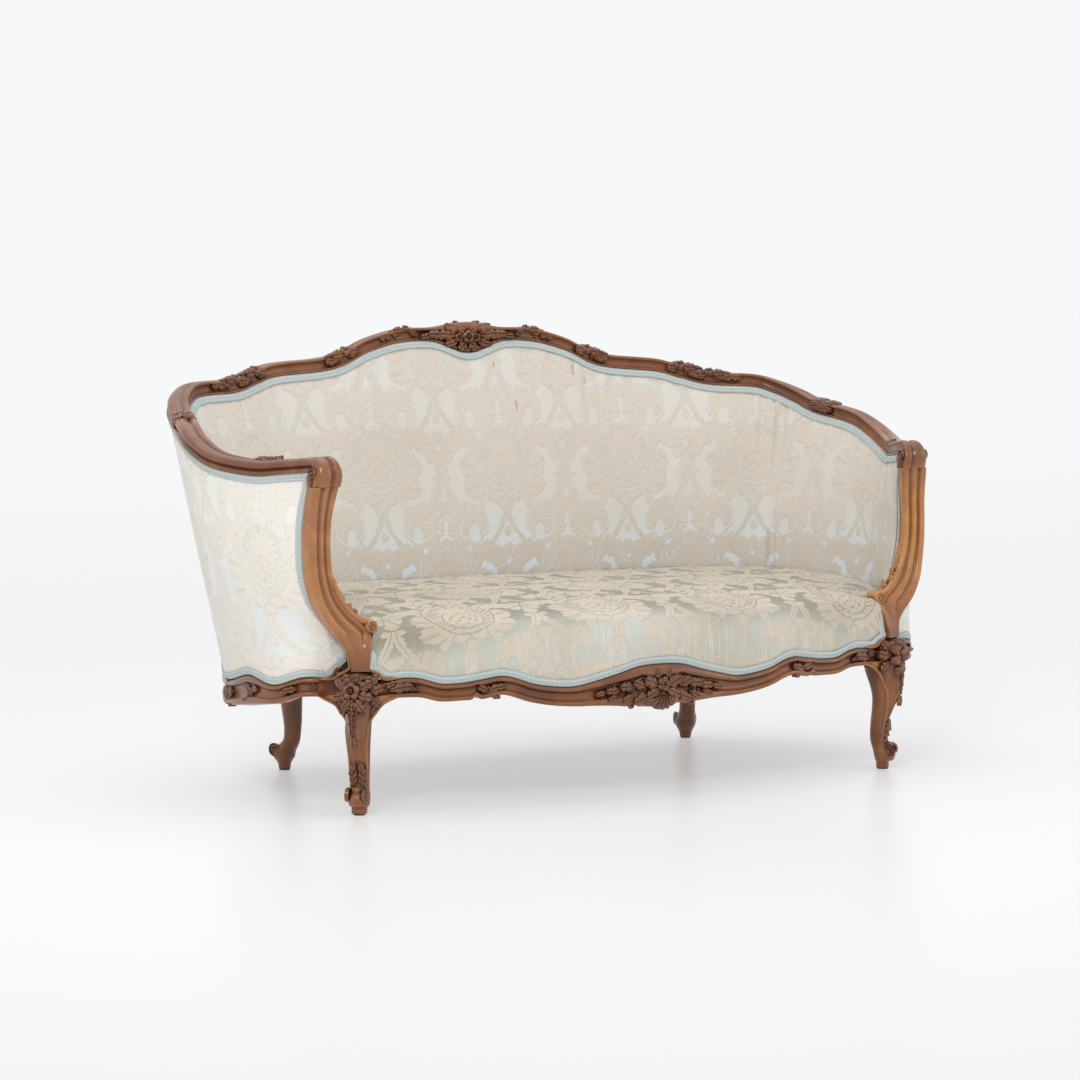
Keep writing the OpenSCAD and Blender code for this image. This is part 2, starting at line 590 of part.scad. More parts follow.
module wall_bar(u, z_low, z_high) {
    d = plan_dir(seat_rows, u) * upright_w / 2;
    function corner(z, side, out) = wall_at(u, z, upright_out + out) + side * [d[0], d[1], 0];
    function ring(z) = [corner(z, -1, upright_t / 2), corner(z, 1, upright_t / 2),
        corner(z, 1, -upright_t / 2), corner(z, -1, -upright_t / 2)];
    loft([ring(z_high), ring(z_low)]);
}
stay_top_h = seat_edge_h - fit_gap;
module back_upright() {
    color(beech) placed() wall_bar(0, seat_at(0)[2] + fit_gap, rail_under(0) - fit_gap);
}
module side_upright(is_left) {
    u = side_upright_station;
    ends = [for (high = [leg_station, last_station]) further(u, upright_w / 2 + bow_gap, u, high)];
    z_low = max([for (v = ends) seat_at(v)[2]]) + fit_gap;
    z_high = min([for (v = ends) rail_under(v)]) - fit_gap;
    color(beech) placed() mirrored(is_left) wall_bar(u, z_low, z_high);
}
function stay_ring(u) = [for (q = [[1, 0], [1, 1], [-1, 1], [-1, 0]])
    wall_at(u, stay_top_h - stay_h * q[1], q[0] * frame_t / 2)];
module back_stay_rail() {
    start = further(0, upright_w / 2 + bow_gap, 0, leg_station);
    stop = further(leg_station, upright_w / 2 + bow_gap, leg_station, 0);
    color(beech) placed() for (is_left = [false, true]) mirrored(is_left)
        loft([for (u = marks_between(start, stop)) stay_ring(u)]);
}
module side_stay_rail(is_left) {
    start = further(leg_station, upright_w / 2 + bow_gap, leg_station, last_station);
    ends = [for (high = [leg_station, last_station])
        further(side_upright_station, upright_w / 2 + bow_gap, side_upright_station, high)];
    color(beech) placed() mirrored(is_left) {
        loft([for (u = marks_between(start, ends[0])) stay_ring(u)]);
        loft([for (u = marks_between(ends[1], last_station - joint_share)) stay_ring(u)]);
    }
}

web_h = seat_bottom_shares[last_station] * leg_h + wire_d;
brace_share = 0.41;
brace_x = rear_block[0] * brace_share;
function front_back_y(x) = front_inner_y(abs(x)) + fit_gap;
function back_front_y(x) = back_inner_y(abs(x)) - fit_gap;
module seat_braces() {
    for (side = [-1, 1]) {
        x = side * brace_x;
        left = x - brace_w / 2;
        right = x + brace_w / 2;
        color(beech) placed() translate([0, 0, web_h - fit_gap - brace_h]) linear_extrude(brace_h) polygon([
            [left, front_back_y(left)], [right, front_back_y(right)],
            [right, back_front_y(right)], [left, back_front_y(left)]
        ]);
    }
}
spring_base_h = web_h + 2 * web_t + 2 * fit_gap;
// How far a corner block's near end keeps from the leg, over its width
corner_share = 0.7;
module corner_blocks() {
    // Each block lies across a front corner, against the front rail and the side rail, over the webbing
    x_near = leg_x - block_half - corner_l * corner_share;
    x_far = x_near - corner_l;
    y_near = block_half + corner_l;
    y_far = y_near + corner_l;
    function side_inner(y) = [side_inner_x(y) - bow_gap, y];
    for (is_left = [false, true])
        color(beech) placed() mirrored(is_left) translate([0, 0, spring_base_h]) linear_extrude(corner_h)
            polygon([
                [x_far, front_back_y(x_far) + bow_gap], [x_near, front_back_y(x_near) + bow_gap],
                side_inner(y_near), side_inner(y_far)
            ]);
}

// Seat springs and webbing

web_pitch_share = 1.9;
web_pitch = web_w * web_pitch_share;
// Rows of springs, and how far out they reach, from the front row to the back row
spring_reach_shares = [[0, 1.03], [0.5, 1.27], [1, 0.975]];
spring_front_y = block_half + web_w / 2 + fit_gap * 2;
spring_back_y = leg_depth - block_half - spring_d;
module seat_webbing() {
    reach = floor((rear_block[0] - block_half - web_w) / web_pitch);
    // Strips from front to back, and on top of them strips along the seat, under and between the springs
    color(jute) placed() for (i = [-reach : reach]) {
        left = i * web_pitch - web_w / 2;
        right = left + web_w;
        translate([0, 0, web_h]) linear_extrude(web_t) polygon([
            [left, front_back_y(left) + fit_gap], [right, front_back_y(right) + fit_gap],
            [right, back_front_y(right) - fit_gap], [left, back_front_y(left) - fit_gap]
        ]);
    }
    spaces = (spring_rows - 1) * 2;
    color(jute) placed() for (i = [0 : spaces]) {
        y = blend(spring_front_y, spring_back_y, i / spaces);
        near = y - web_w / 2;
        far = y + web_w / 2;
        low = side_inner_x(near) - bow_gap * 2;
        high = side_inner_x(far) - bow_gap * 2;
        translate([0, 0, web_h + web_t + fit_gap]) linear_extrude(web_t)
            polygon([[-low, near], [low, near], [high, far], [-high, far]]);
    }
}
spring_top_h = canvas_top_h - web_t - 2 * fit_gap;
wire_sides = 3;
rings_a_turn = 6;
module spring() {
    rise = spring_top_h - spring_base_h - wire_d;
    count = spring_turns * rings_a_turn;
    loft([for (i = [0 : count])
        let (t = i / count, a = 360 * i / rings_a_turn,
            r = blend(spring_waist_d, spring_d, pow(abs(2 * t - 1), 2)) / 2 - wire_d / 2)
        [for (k = [0 : wire_sides - 1])
            let (b = -360 * k / wire_sides, rr = r + wire_d / 2 * cos(b))
            [rr * cos(a), rr * sin(a), spring_base_h + wire_d / 2 + rise * t + wire_d / 2 * sin(b)]]]);
}
module seat_springs() {
    color(steel) placed() for (j = [0 : spring_rows - 1], i = [0 : spring_columns - 1]) {
        t = j / (spring_rows - 1);
        reach = rear_block[0] * lookup(t, spring_reach_shares);
        x = blend(-reach, reach, i / (spring_columns - 1));
        translate([x, blend(spring_front_y, spring_back_y, t), 0]) spring();
    }
}

// Back and arm upholstery

pad_base_h = stay_top_h - stay_h;
// Stuffing at each height, and how it draws in beside the arm support
pad_face_shares = [
    [0, 0.30], [0.06, 0.86], [0.24, 1.0], [0.443, 1.02], [0.714, 0.92], [0.95, 0.5], [1, 0.28]
];
pad_end_share = 0.45;
pad_end_stations = 1.5;
canvas_room = 1.5;
pad_back_out = -(frame_t / 2 + web_t + canvas_room + 2 * fit_gap);
function pad_top_h(u) = rail_under(u) - fit_gap;
function pad_depth(u) =
    pad_t * blend(pad_end_share, 1, sin(90 * min((last_station - abs(u)) / pad_end_stations, 1)));
function pad_face(u, z) =
    pad_back_out - pad_depth(u) * lookup((z - pad_base_h) / (pad_top_h(u) - pad_base_h), pad_face_shares);
function pad_levels(u) = [for (q = pad_face_shares) blend(pad_base_h, pad_top_h(u), q[0])];
function pad_ring(u) = concat(
    [for (z = pad_levels(u)) wall_at(u, z, pad_face(u, z))],
    [for (z = turned(pad_levels(u))) wall_at(u, z, pad_back_out)]
);
module inside_back_pad() {
    color(damask) placed() sheet_loft([for (u = marks_between(-leg_station, leg_station)) pad_ring(u)]);
}
module inside_arm_pad(is_left) {
    start = leg_station + joint_share * 2;
    color(damask) placed() mirrored(is_left)
        sheet_loft([for (u = marks_between(start, last_station - joint_share)) pad_ring(u)]);
}
canvas_out = frame_t / 2 + fit_gap * 2;
function canvas_ring(u) =
    let (levels = [pad_top_h(u), pad_base_h])
    concat([for (z = levels) wall_at(u, z, -canvas_out)],
        [for (z = turned(levels)) wall_at(u, z, -canvas_out - web_t)]);
// The canvas ends where the arm begins to bend towards its support
module back_canvas() {
    stop = last_station - follow_stations;
    color(linen) placed() sheet_loft([for (u = marks_between(-stop, stop)) canvas_ring(u)]);
}
cover_out = rail_w / 2 - cover_set;
// Levels of an outside covering between the braids along its edges
cover_level_shares = [0.761, 0.534, 0.364, 0.223];
function cover_low(u) = seat_at(u)[2] + fit_gap * 3;
function cover_top(u) = pad_top_h(u) - fit_gap;
function cover_levels(u) =
    let (top = cover_top(u), low = cover_low(u), edge = gimp_w + fit_gap * 2)
    concat([top, top - edge], [for (q = cover_level_shares) blend(low, top, q)], [low + edge, low]);
function cover_ring(u, levels) = concat(
    [for (z = levels) wall_at(u, z, cover_out - cover_t)],
    [for (z = turned(levels)) wall_at(u, z, cover_out)]
);
module outside_back_cover() {
    color(damask_pale) placed() sheet_loft([for (u = marks_between(-leg_station, leg_station))
        cover_ring(u, [cover_top(u), cover_low(u)])]);
}
module outside_arm_cover(is_left) {
    start = leg_station + joint_share * 2;
    color(damask_pale) placed() mirrored(is_left)
        sheet_loft([for (u = marks_between(start, last_station - joint_share))
            cover_ring(u, cover_levels(u))]);
}

// Seat upholstery

// How far the seat's border lies over the rails, and where its side meets the stuffing of the back and arms
seat_over_share = 0.13;
seat_out = -seat_rail_w * (1 / 2 - seat_over_share);
seat_front_set = cover_set * 2;
seat_side_stop = last_station - ring_stations;
seat_front_stop = front_last - 1;
seat_rim_share = 0.09;
seat_roll_share = 0.6;
roll_r = seat_crown * seat_roll_share;
roll_shares = [[0, 0.6], [0.2, 0.85], [1, 1]];
// The seat meets the stuffing near its crown's height, and lower towards the arm supports
rim_stations = 7;
function seat_rim_h(u) =
    blend(seat_h - seat_crown * seat_rim_share, seat_edge_h, bump(last_station - abs(u), rim_stations));
function seat_front_point(u, inset) =
    let (p = front_at(u), o = front_out(u)) [p[0], p[1], p[2]] - o * (seat_front_set + inset);
// Each profile runs from the inner edge of the border, over the rail, out and up to the rim
border_share = 0.75;
border_t = seat_pad_t * border_share;
function border_point(p) = [p[0], p[1], max(p[2], spring_base_h) + 2 * fit_gap];
function seat_front_profile(u) =
    let (p = seat_front_point(u, 0))
    concat([border_point(seat_front_point(u, border_t)), border_point(p)], [for (r = roll_shares)
        let (q = seat_front_point(u, roll_r * r[0])) [q[0], q[1], blend(p[2], seat_edge_h, r[1])]]);
function seat_side_profile(u) =
    let (p = seat_at(u), o = outward(seat_rows, u), rim = seat_rim_h(u),
        mid = blend(pad_base_h, pad_top_h(u), pad_face_shares[1][0]),
        q = wall_at(u, mid, pad_face(u, mid) - bow_gap),
        inner = [p[0], p[1], p[2]] + o * (seat_out - border_t))
    [border_point(inner), border_point([p[0], p[1], p[2]] + o * seat_out),
        [q[0], q[1], pad_base_h], q, wall_at(u, rim, pad_face(u, rim) - cover_t)];
// Middle of the seat, towards which the crown's rings draw in
seat_middle_share = 0.46;
seat_middle = [0, leg_depth * seat_middle_share];
function inward(q, inset) = q + unit(seat_middle - q) * inset;
// Behind the arm support the seat turns in front of the leg's block
function seat_corner_profile(side) =
    let (near = block_half + fit_gap * 2, p = [side * (leg_x - near), near, seat_rows[last_station][2]],
        inner = inward([p[0], p[1]], border_t))
    concat([border_point([inner[0], inner[1], p[2]]), border_point(p)], [for (r = roll_shares)
        [p[0] - side * r[0] * gimp_w, p[1] + r[0] * gimp_w, blend(p[2], seat_edge_h, r[1])]]);
seat_loop = concat(
    [for (u = stations(-seat_front_stop, seat_front_stop, seat_front_stop * 2)) seat_front_profile(u)],
    [seat_corner_profile(1)],
    [for (u = marks_between(-seat_side_stop, seat_side_stop)) seat_side_profile(-u)],
    [seat_corner_profile(-1)]
);
function seat_ring(k) = [for (p = seat_loop) p[k]];
function under_ring(inset, height) = [for (p = seat_loop)
    let (m = inward([p[0][0], p[0][1]], inset)) [m[0], m[1], height]];
function crown_ring(scale_share, rise_share) = [for (p = seat_loop)
    let (q = p[len(p) - 1], m = blend(seat_middle, [q[0], q[1]], scale_share))
    [m[0], m[1], blend(q[2], seat_h, rise_share)]];
crown_shares = [[0.86, 0.5], [0.6, 0.85], [0.25, 1]];
module seat_pad() {
    color(damask) placed() loft(concat(
        [under_ring(border_t, canvas_top_h + fit_gap), under_ring(0, canvas_top_h + fit_gap)],
        [for (k = [0 : len(roll_shares) + 1]) seat_ring(k)],
        [for (q = crown_shares) crown_ring(q[0], q[1])]
    ));
}
module spring_canvas() {
    color(linen) placed() loft([
        under_ring(fit_gap * 3, canvas_top_h - web_t),
        under_ring(fit_gap * 3, canvas_top_h)
    ]);
}

// Braid along the wood

// Between the braids along the arm supports
gimp_stop = nose_station - step_share;
function gimp_marks() = marks_between(-gimp_stop, gimp_stop);
function gimp_ring(u, z_top, out_top, out_low, thick) =
    [wall_at(u, z_top, out_top), wall_at(u, z_top, out_top + thick),
        wall_at(u, z_top - gimp_w, out_low + thick), wall_at(u, z_top - gimp_w, out_low)];
function gimp_top_h(u) = pad_top_h(u) - fit_gap;
module gimp_inside() {
    color(braid) placed() loft([for (u = gimp_marks())
        let (z = gimp_top_h(u))
        gimp_ring(u, z, pad_face(u, z) - fit_gap, pad_face(u, z - gimp_w) - fit_gap, -gimp_t)]);
}
gimp_out = cover_out + fit_gap * 2;
module gimp_outside_top() {
    color(braid) placed()
        loft([for (u = gimp_marks()) gimp_ring(u, gimp_top_h(u), gimp_out, gimp_out, gimp_t)]);
}
module gimp_outside_bottom() {
    color(braid) placed() loft([for (u = gimp_marks())
        gimp_ring(u, cover_low(u) + fit_gap + gimp_w, gimp_out, gimp_out, gimp_t)]);
}
// Braid down the back of an arm support, on the levels of the stuffing or of the covering beside it
function post_gimp_ring(z, is_inside) =
    let (ends = [last_station - joint_share, nose_station],
        near = [for (u = ends) is_inside ? pad_face(u, z) - fit_gap - gimp_t : gimp_out],
        far = [for (v = near) v + gimp_t])
    [wall_at(ends[0], z, near[0]), wall_at(ends[1], z, near[1]), wall_at(ends[1], z, far[1]),
        wall_at(ends[0], z, far[0])];
module gimp_post_inside(is_left) {
    levels = pad_levels(last_station);
    color(braid) placed() mirrored(is_left)
        loft([for (i = [1 : len(levels) - 2]) post_gimp_ring(levels[i], true)]);
}
module gimp_post_outside(is_left) {
    levels = cover_levels(last_station);
    color(braid) placed() mirrored(is_left)
        loft([for (i = [1 : len(levels) - 2]) post_gimp_ring(levels[i], false)]);
}
module gimp_seat_front() {
    function ring(u) = let (p = seat_front_point(u, 0) + [0, 0, 2 * fit_gap], o = front_out(u),
        near = p + o * fit_gap, far = near + o * gimp_t, up = [0, 0, gimp_w])
        [far, near, near + up, far + up];
    color(braid) placed()
        loft([for (u = stations(-seat_front_stop, seat_front_stop, seat_front_stop * 2)) ring(u)]);
}

module foot_glides() {
    color(iron) placed() for (side = [-1, 1], foot = [[leg_x, 0], [rear_leg_x, leg_depth]])
        translate([side * foot[0], foot[1], 0]) cylinder(h = glide_t, d = glide_d, $fn = round_fn);
}

top_rail_centre();
top_rail_corner(true);  // top_rail_corner_left
top_rail_corner(false);  // top_rail_corner_right
arm_rail(true);  // arm_rail_left
arm_rail(false);  // arm_rail_right
arm_support(true);  // arm_support_left
arm_support(false);  // arm_support_right
front_leg(true);  // front_leg_left
front_leg(false);  // front_leg_right
rear_leg(true);  // rear_leg_left
rear_leg(false);  // rear_leg_right
front_seat_rail();
side_seat_rail(true);  // side_seat_rail_left
side_seat_rail(false);  // side_seat_rail_right
back_seat_rail();
back_upright();
side_upright(true);  // side_upright_left
side_upright(false);  // side_upright_right
back_stay_rail();
side_stay_rail(true);  // side_stay_rail_left
side_stay_rail(false);  // side_stay_rail_right
seat_braces();
corner_blocks();
seat_webbing();
seat_springs();
spring_canvas();
seat_pad();
back_canvas();
inside_back_pad();
inside_arm_pad(true);  // inside_arm_pad_left
inside_arm_pad(false);  // inside_arm_pad_right
outside_back_cover();
outside_arm_cover(true);  // outside_arm_cover_left
outside_arm_cover(false);  // outside_arm_cover_right
gimp_inside();
gimp_outside_top();
gimp_outside_bottom();
gimp_post_inside(true);  // gimp_post_inside_left
gimp_post_inside(false);  // gimp_post_inside_right
gimp_post_outside(true);  // gimp_post_outside_left
gimp_post_outside(false);  // gimp_post_outside_right
gimp_seat_front();
foot_glides();
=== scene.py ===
# %% [markdown]
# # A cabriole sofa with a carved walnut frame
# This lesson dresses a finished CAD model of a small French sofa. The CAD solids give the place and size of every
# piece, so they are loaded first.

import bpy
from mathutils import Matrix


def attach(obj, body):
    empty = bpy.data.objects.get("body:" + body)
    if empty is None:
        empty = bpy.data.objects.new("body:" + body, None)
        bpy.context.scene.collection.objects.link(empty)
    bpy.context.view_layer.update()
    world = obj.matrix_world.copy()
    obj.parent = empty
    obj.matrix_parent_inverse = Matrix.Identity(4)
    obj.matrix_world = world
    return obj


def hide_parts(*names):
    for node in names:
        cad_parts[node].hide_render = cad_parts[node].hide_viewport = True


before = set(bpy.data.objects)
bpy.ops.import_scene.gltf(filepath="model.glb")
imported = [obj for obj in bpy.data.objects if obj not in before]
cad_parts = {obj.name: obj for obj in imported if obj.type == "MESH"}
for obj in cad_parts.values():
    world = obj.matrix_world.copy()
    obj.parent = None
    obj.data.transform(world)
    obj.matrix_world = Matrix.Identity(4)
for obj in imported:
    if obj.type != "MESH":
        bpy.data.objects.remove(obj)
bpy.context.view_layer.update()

import ast
import math

import bmesh
import bpy
from mathutils import Matrix, Vector, noise

# %% [markdown]
# ## Sizes and guide curves
# A joiner bends every rail of this sofa round a few full-size patterns. The tables below are those patterns: shares
# of the sizes above them. The top rail, the seat rails, the stuffing, the coverings and the braid all follow them, so
# one set of curves keeps the whole sofa together.

# %% Sizes in metres
# the whole sofa, the legs, the show wood, the seat rails, the crest and shell, the stuffing and braid, small gaps
SOFA_W, SOFA_D, SOFA_H, ARM_H, SEAT_H = 1.760, 0.928, 0.994, 0.732, 0.418
LEG_X, REAR_X, LEG_DEPTH, LEG_H, BLOCK = 0.650, 0.526, 0.637, 0.297, 0.032
RAIL_W, RAIL_T, POST_W, POST_D, POST_LEAN, NECK = 0.046, 0.031, 0.050, 0.038, 0.075, 0.028
SEAT_RAIL_W, FRONT_BOW, SIDE_BOW, BACK_BOW, NOSE_PROUD = 0.046, 0.116, 0.134, 0.043, 0.011
CREST_RISE, CREST_DROP, CREST_HALF, SHELL_PROUD, SHELL_HALF = 0.015, 0.026, 0.105, 0.009, 0.120
FRAME_T, PAD_T, COVER_SET, SEAT_CROWN, GIMP_W, GIMP_T = 0.024, 0.030, 0.004, 0.032, 0.015, 0.0024
GAP, SPLAY, EDGE_ROOM = 0.0003, 0.022, 0.0025
FEET_Y = FRONT_BOW + SHELL_PROUD - SOFA_D / 2
RAIL_TOP = SOFA_H - CREST_RISE
TOP_X = SOFA_W / 2 - RAIL_W / 2
TOP_Y = SOFA_D - FRONT_BOW - SHELL_PROUD - RAIL_W / 2
SEAT_EDGE = SEAT_H - SEAT_CROWN
SPLAY_WAY = Vector((math.cos(math.radians(68)), math.sin(math.radians(68)), 0))
REAR_BLOCK = Vector((REAR_X, LEG_DEPTH, 0)) - SPLAY * SPLAY_WAY
# stations along the rails, counted from the middle of the back round to the front of an arm
LAST, LEG_STATION, CORNER, ARM_JOINT, NOSE = 17, 6, 7.5, 11.5, 16.8
print("sofa:", SOFA_W, "x", SOFA_D, "x", SOFA_H, "m; origin moved by", round(FEET_Y, 4), "m in Y")

# %% [markdown]
# The tables hold one row for each station of a path. A pattern of shares is how a workshop draws a chair that comes in
# several sizes, and it keeps the curves of this model tied to the sizes above.

# %% Patterns as shares of the sizes
TOP = [(0, .997, 1), (.182, 1, 1.004), (.298, .992, .915), (.379, .986, .789), (.449, .982, .737),
       (.589, .967, .696), (.665, .937, .628), (.735, .896, .567), (.852, .845, .543), (.904, .795, .482),
       (.938, .731, .401), (.959, .647, .304), (.991, .513, .219), (1, .429, .121), (.985, .327, .008),
       (.933, .209, -.045), (.889, .131, -.028)]
BACK_RAIL = [(0, 1), (.283, .97), (.458, .886), (.581, .77), (.683, .63), (.879, .286), (1, 0)]
SIDE_REAR = [(.215, .942), (.497, .889), (.662, .832), (.720, .785), (.786, .722), (.895, .604), (.977, .471)]
SIDE_FRONT = [(1, .314), (.918, .176), (.657, .102)]
SEAT_TOP = [.842] * 11 + [.835, .825, .857, .926, .886, .950, .935]
SEAT_LOW = [.663] * 8 + [.660, .650, .645, .640, .645, .672, .718, .757, .815, .805]
FRONT = [(0, 1, .956, .653), (.086, 1, .946, .657), (.162, .974, .904, .673), (.243, .930, .862, .683),
         (.325, .875, .828, .687), (.409, .825, .838, .704), (.479, .785, .865, .734), (.536, .740, .907, .774),
         (.589, .690, .926, .795), (.647, .630, .909, .771), (.720, .560, .889, .767), (.793, .480, .889, .766),
         (.858, .400, .929, .798), (.909, .335, .939, .803), (.955, .280, .929, .800), (1, .220, .909, .795)]
POST = [(.862, .98, 1.18, .52, 8.5), (.789, 1.024, 1.11, .28, 12), (.697, 1.06, 1.02, .10, 16),
        (.582, 1.08, 1, .10, 16), (.478, 1.053, 1.04, .10, 16), (.386, .953, 1.14, .14, 15),
        (.315, .813, 1.28, .29, 14), (.251, .56, 1.52, .46, 12), (.209, .327, 1.78, .57, 10),
        (.179, .153, 1.90, .64, 8), (.149, .14, 1.58, .71, 2), (.117, .16, 1.16, .79, -8),
        (.080, .127, .90, .86, -15), (.032, .127, .76, .96, -20), (0, .133, .76, 1, -24)]
FRONT_HALF = LEG_X - BLOCK - GAP
FRONT_LAST = len(FRONT) - 1
print("stations: top", len(TOP), "seat", len(SEAT_TOP), "front", len(FRONT), "support", len(POST))

# %% [markdown]
# A smooth curve goes through the rows of a table. Blender's own curves could do it, but a table also carries widths,
# heights and angles, so one small function blends every column at once.


# %% Curves through the patterns
def blend(a, b, t):
    return a + (b - a) * t


def bump(distance, reach):
    return 0 if abs(distance) >= reach else (1 + math.cos(math.pi * distance / reach)) / 2


def ease(t):
    t = min(max(t, 0), 1)
    return t * t * (3 - 2 * t)


def row(rows, i):
    if i >= len(rows):
        return rows[-1] * 2 - rows[-2]
    if i >= 0:
        return rows[i]
    first = rows[0]
    if first[0] == 0:
        mirrored = rows[-i].copy()
        mirrored[0] = -mirrored[0]
        return mirrored
    return first * 2 - rows[1]


def along(rows, u):
    if u < 0:
        point = along(rows, -u)
        point[0] = -point[0]
        return point
    i = min(int(u), len(rows) - 2)
    a, b, c, d = (row(rows, i + k) for k in (-1, 0, 1, 2))
    t = u - i
    return b + ((c - a) / 2 + ((a * 2 - b * 5 + c * 4 - d) / 2 + (b * 3 - a - c * 3 + d) / 2 * t) * t) * t


print("half of the way from 1 to 3 is", blend(1, 3, .5), "and eased", blend(1, 3, ease(.5)))

# %% Path of the arm supports
post_rows = [Vector((LEG_X + POST_LEAN * p[1], -NECK * p[3], LEG_H + (ARM_H - LEG_H) * p[0], POST_W * p[2], p[4]))
             for p in POST]
post_fine = [along(post_rows, i / 8) for i in range(8 * (len(post_rows) - 1) + 1)]
POST_JOINT = post_rows[0][2]


def post_at(z):
    rows = post_fine
    i = next((k for k in range(len(rows) - 1) if rows[k + 1][2] <= z), len(rows) - 2)
    t = (rows[i][2] - z) / (rows[i][2] - rows[i + 1][2])
    return blend(rows[i], rows[i + 1], min(max(t, 0), 1))


def post_axes(degrees):
    a = math.radians(degrees)
    return Vector((math.cos(a), -math.sin(a), 0)), Vector((math.sin(a), math.cos(a), 0))


def wall_end(z):
    p = post_at(z)
    back = post_axes(p[4])[1]
    return Vector((p[0], p[1], z)) + back * (POST_D + EDGE_ROOM)


print("the support meets its rail at", round(POST_JOINT, 4), "m")

# %% Paths of the top rail and the seat rails
top_rows = [Vector((x * TOP_X, y * TOP_Y, ARM_H + z * (RAIL_TOP - ARM_H))) for x, y, z in TOP]
top_rows.append(Vector((*wall_end(POST_JOINT).xy, ARM_H)))
seat_rows = []
for k in range(LAST + 1):
    if k <= LEG_STATION:
        x, y = BACK_RAIL[k][0] * REAR_BLOCK.x, REAR_BLOCK.y + BACK_RAIL[k][1] * BACK_BOW
    elif k < LAST - 3:
        x, y = blend(REAR_BLOCK.x, LEG_X + SIDE_BOW, SIDE_REAR[k - 7][0]), SIDE_REAR[k - 7][1] * LEG_DEPTH
    elif k < LAST:
        x, y = LEG_X + SIDE_FRONT[k - 14][0] * SIDE_BOW, SIDE_FRONT[k - 14][1] * LEG_DEPTH
    else:
        x, y = LEG_X + .127 * SIDE_BOW, BLOCK + GAP
    seat_rows.append(Vector((x, y, SEAT_TOP[k] * LEG_H, SEAT_LOW[k] * LEG_H)))
front_rows = [Vector((x * FRONT_HALF, -y * FRONT_BOW, a * LEG_H, b * LEG_H)) for x, y, a, b in FRONT]
print("seat rails reach", round(max(r[0] for r in seat_rows), 3), "m to each side")


# %% Points and directions on the paths
def outward(rows, u, end=LAST):
    v = along(rows, min(u + .02, end)) - along(rows, max(u - .02, -end))
    return Vector((-v[1], v[0], 0)).normalized()


def front_out(u):
    return -outward(front_rows, u, FRONT_LAST)


def top_at(u):
    return along(top_rows, u)


def seat_at(u):
    return along(seat_rows, u)


def front_at(u):
    return along(front_rows, u)


def crest_at(u):
    return bump(top_at(u)[0], CREST_HALF)


def rail_under(u):
    return top_at(u)[2] - RAIL_T - CREST_DROP * crest_at(u)


print("rail's underside in the middle:", round(rail_under(0), 4), "m")

# %% [markdown]
# The upholstered back and arms lean outward from the seat rail to the top rail, and near the front they turn into the
# line behind the supports. One function gives any point of that wall, so canvas, stuffing, silk and braid agree.


# %% The wall of the back and arms
def wall_at(u, z, out):
    """A point of the back and arms at a station and height, moved outward."""
    s, t, e, f = seat_at(u), top_at(u), seat_rows[LAST], top_rows[LAST]
    h = (z - s[2]) / (t[2] - RAIL_T - s[2])
    side = -1 if u < 0 else 1
    plain = Vector((blend(s[0], t[0], h), blend(s[1], t[1], h), z))
    g = (z - e[2]) / (f[2] - RAIL_T - e[2])
    end_plain = Vector((blend(e[0], f[0], g), blend(e[1], f[1], g), z))
    over = min(max((z - LEG_H) / FRAME_T, 0), 1)
    z_post = max(z, LEG_H)
    high = min(max((z - LEG_H) / (POST_JOINT - LEG_H), 0), 1)
    follow = bump(LAST - abs(u), 3 * blend(.4, 1, math.sin(math.pi / 2 * high)))
    end = blend(Vector((e[0], e[1], z)), Vector((*wall_end(z_post).xy, z)), over)
    shift = (end - end_plain) * follow
    end_out = blend(Vector((1, 0, 0)), post_axes(post_at(z_post)[4])[0], over)
    plain_out = blend(outward(seat_rows, u), outward(top_rows, u), h)
    n = blend(plain_out, Vector((side * end_out.x, end_out.y, 0)), follow).normalized()
    return plain + Vector((side * shift.x, shift.y, 0)) + n * out


def to_frame(v):
    return Vector((v[0], v[1] + FEET_Y, v[2]))


print("top rail from", [round(v, 3) for v in to_frame(top_at(0))],
      "to", [round(v, 3) for v in to_frame(top_at(LAST))])

# %% [markdown]
# ## Helpers for meshes and materials
# Long moulded pieces are sweeps: a section is drawn at many stations along a path and the sections are joined. A
# path with a changing section is beyond the extrude operator, so the faces are written straight into a mesh.
# Its UV map is in metres, along the path and round the section, so that a weave keeps its size.


# %% Mesh helpers
def finish(obj, smooth=40):
    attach(obj, "root")
    deselect()
    obj.select_set(True)
    bpy.context.view_layer.objects.active = obj
    bpy.ops.object.shade_smooth_by_angle(angle=math.radians(smooth))
    print("made", obj.name, "with", len(obj.data.polygons), "faces")
    return obj


def deselect():
    if bpy.context.object and bpy.context.object.mode != "OBJECT":
        bpy.ops.object.mode_set(mode="OBJECT")
    bpy.ops.object.select_all(action="DESELECT")


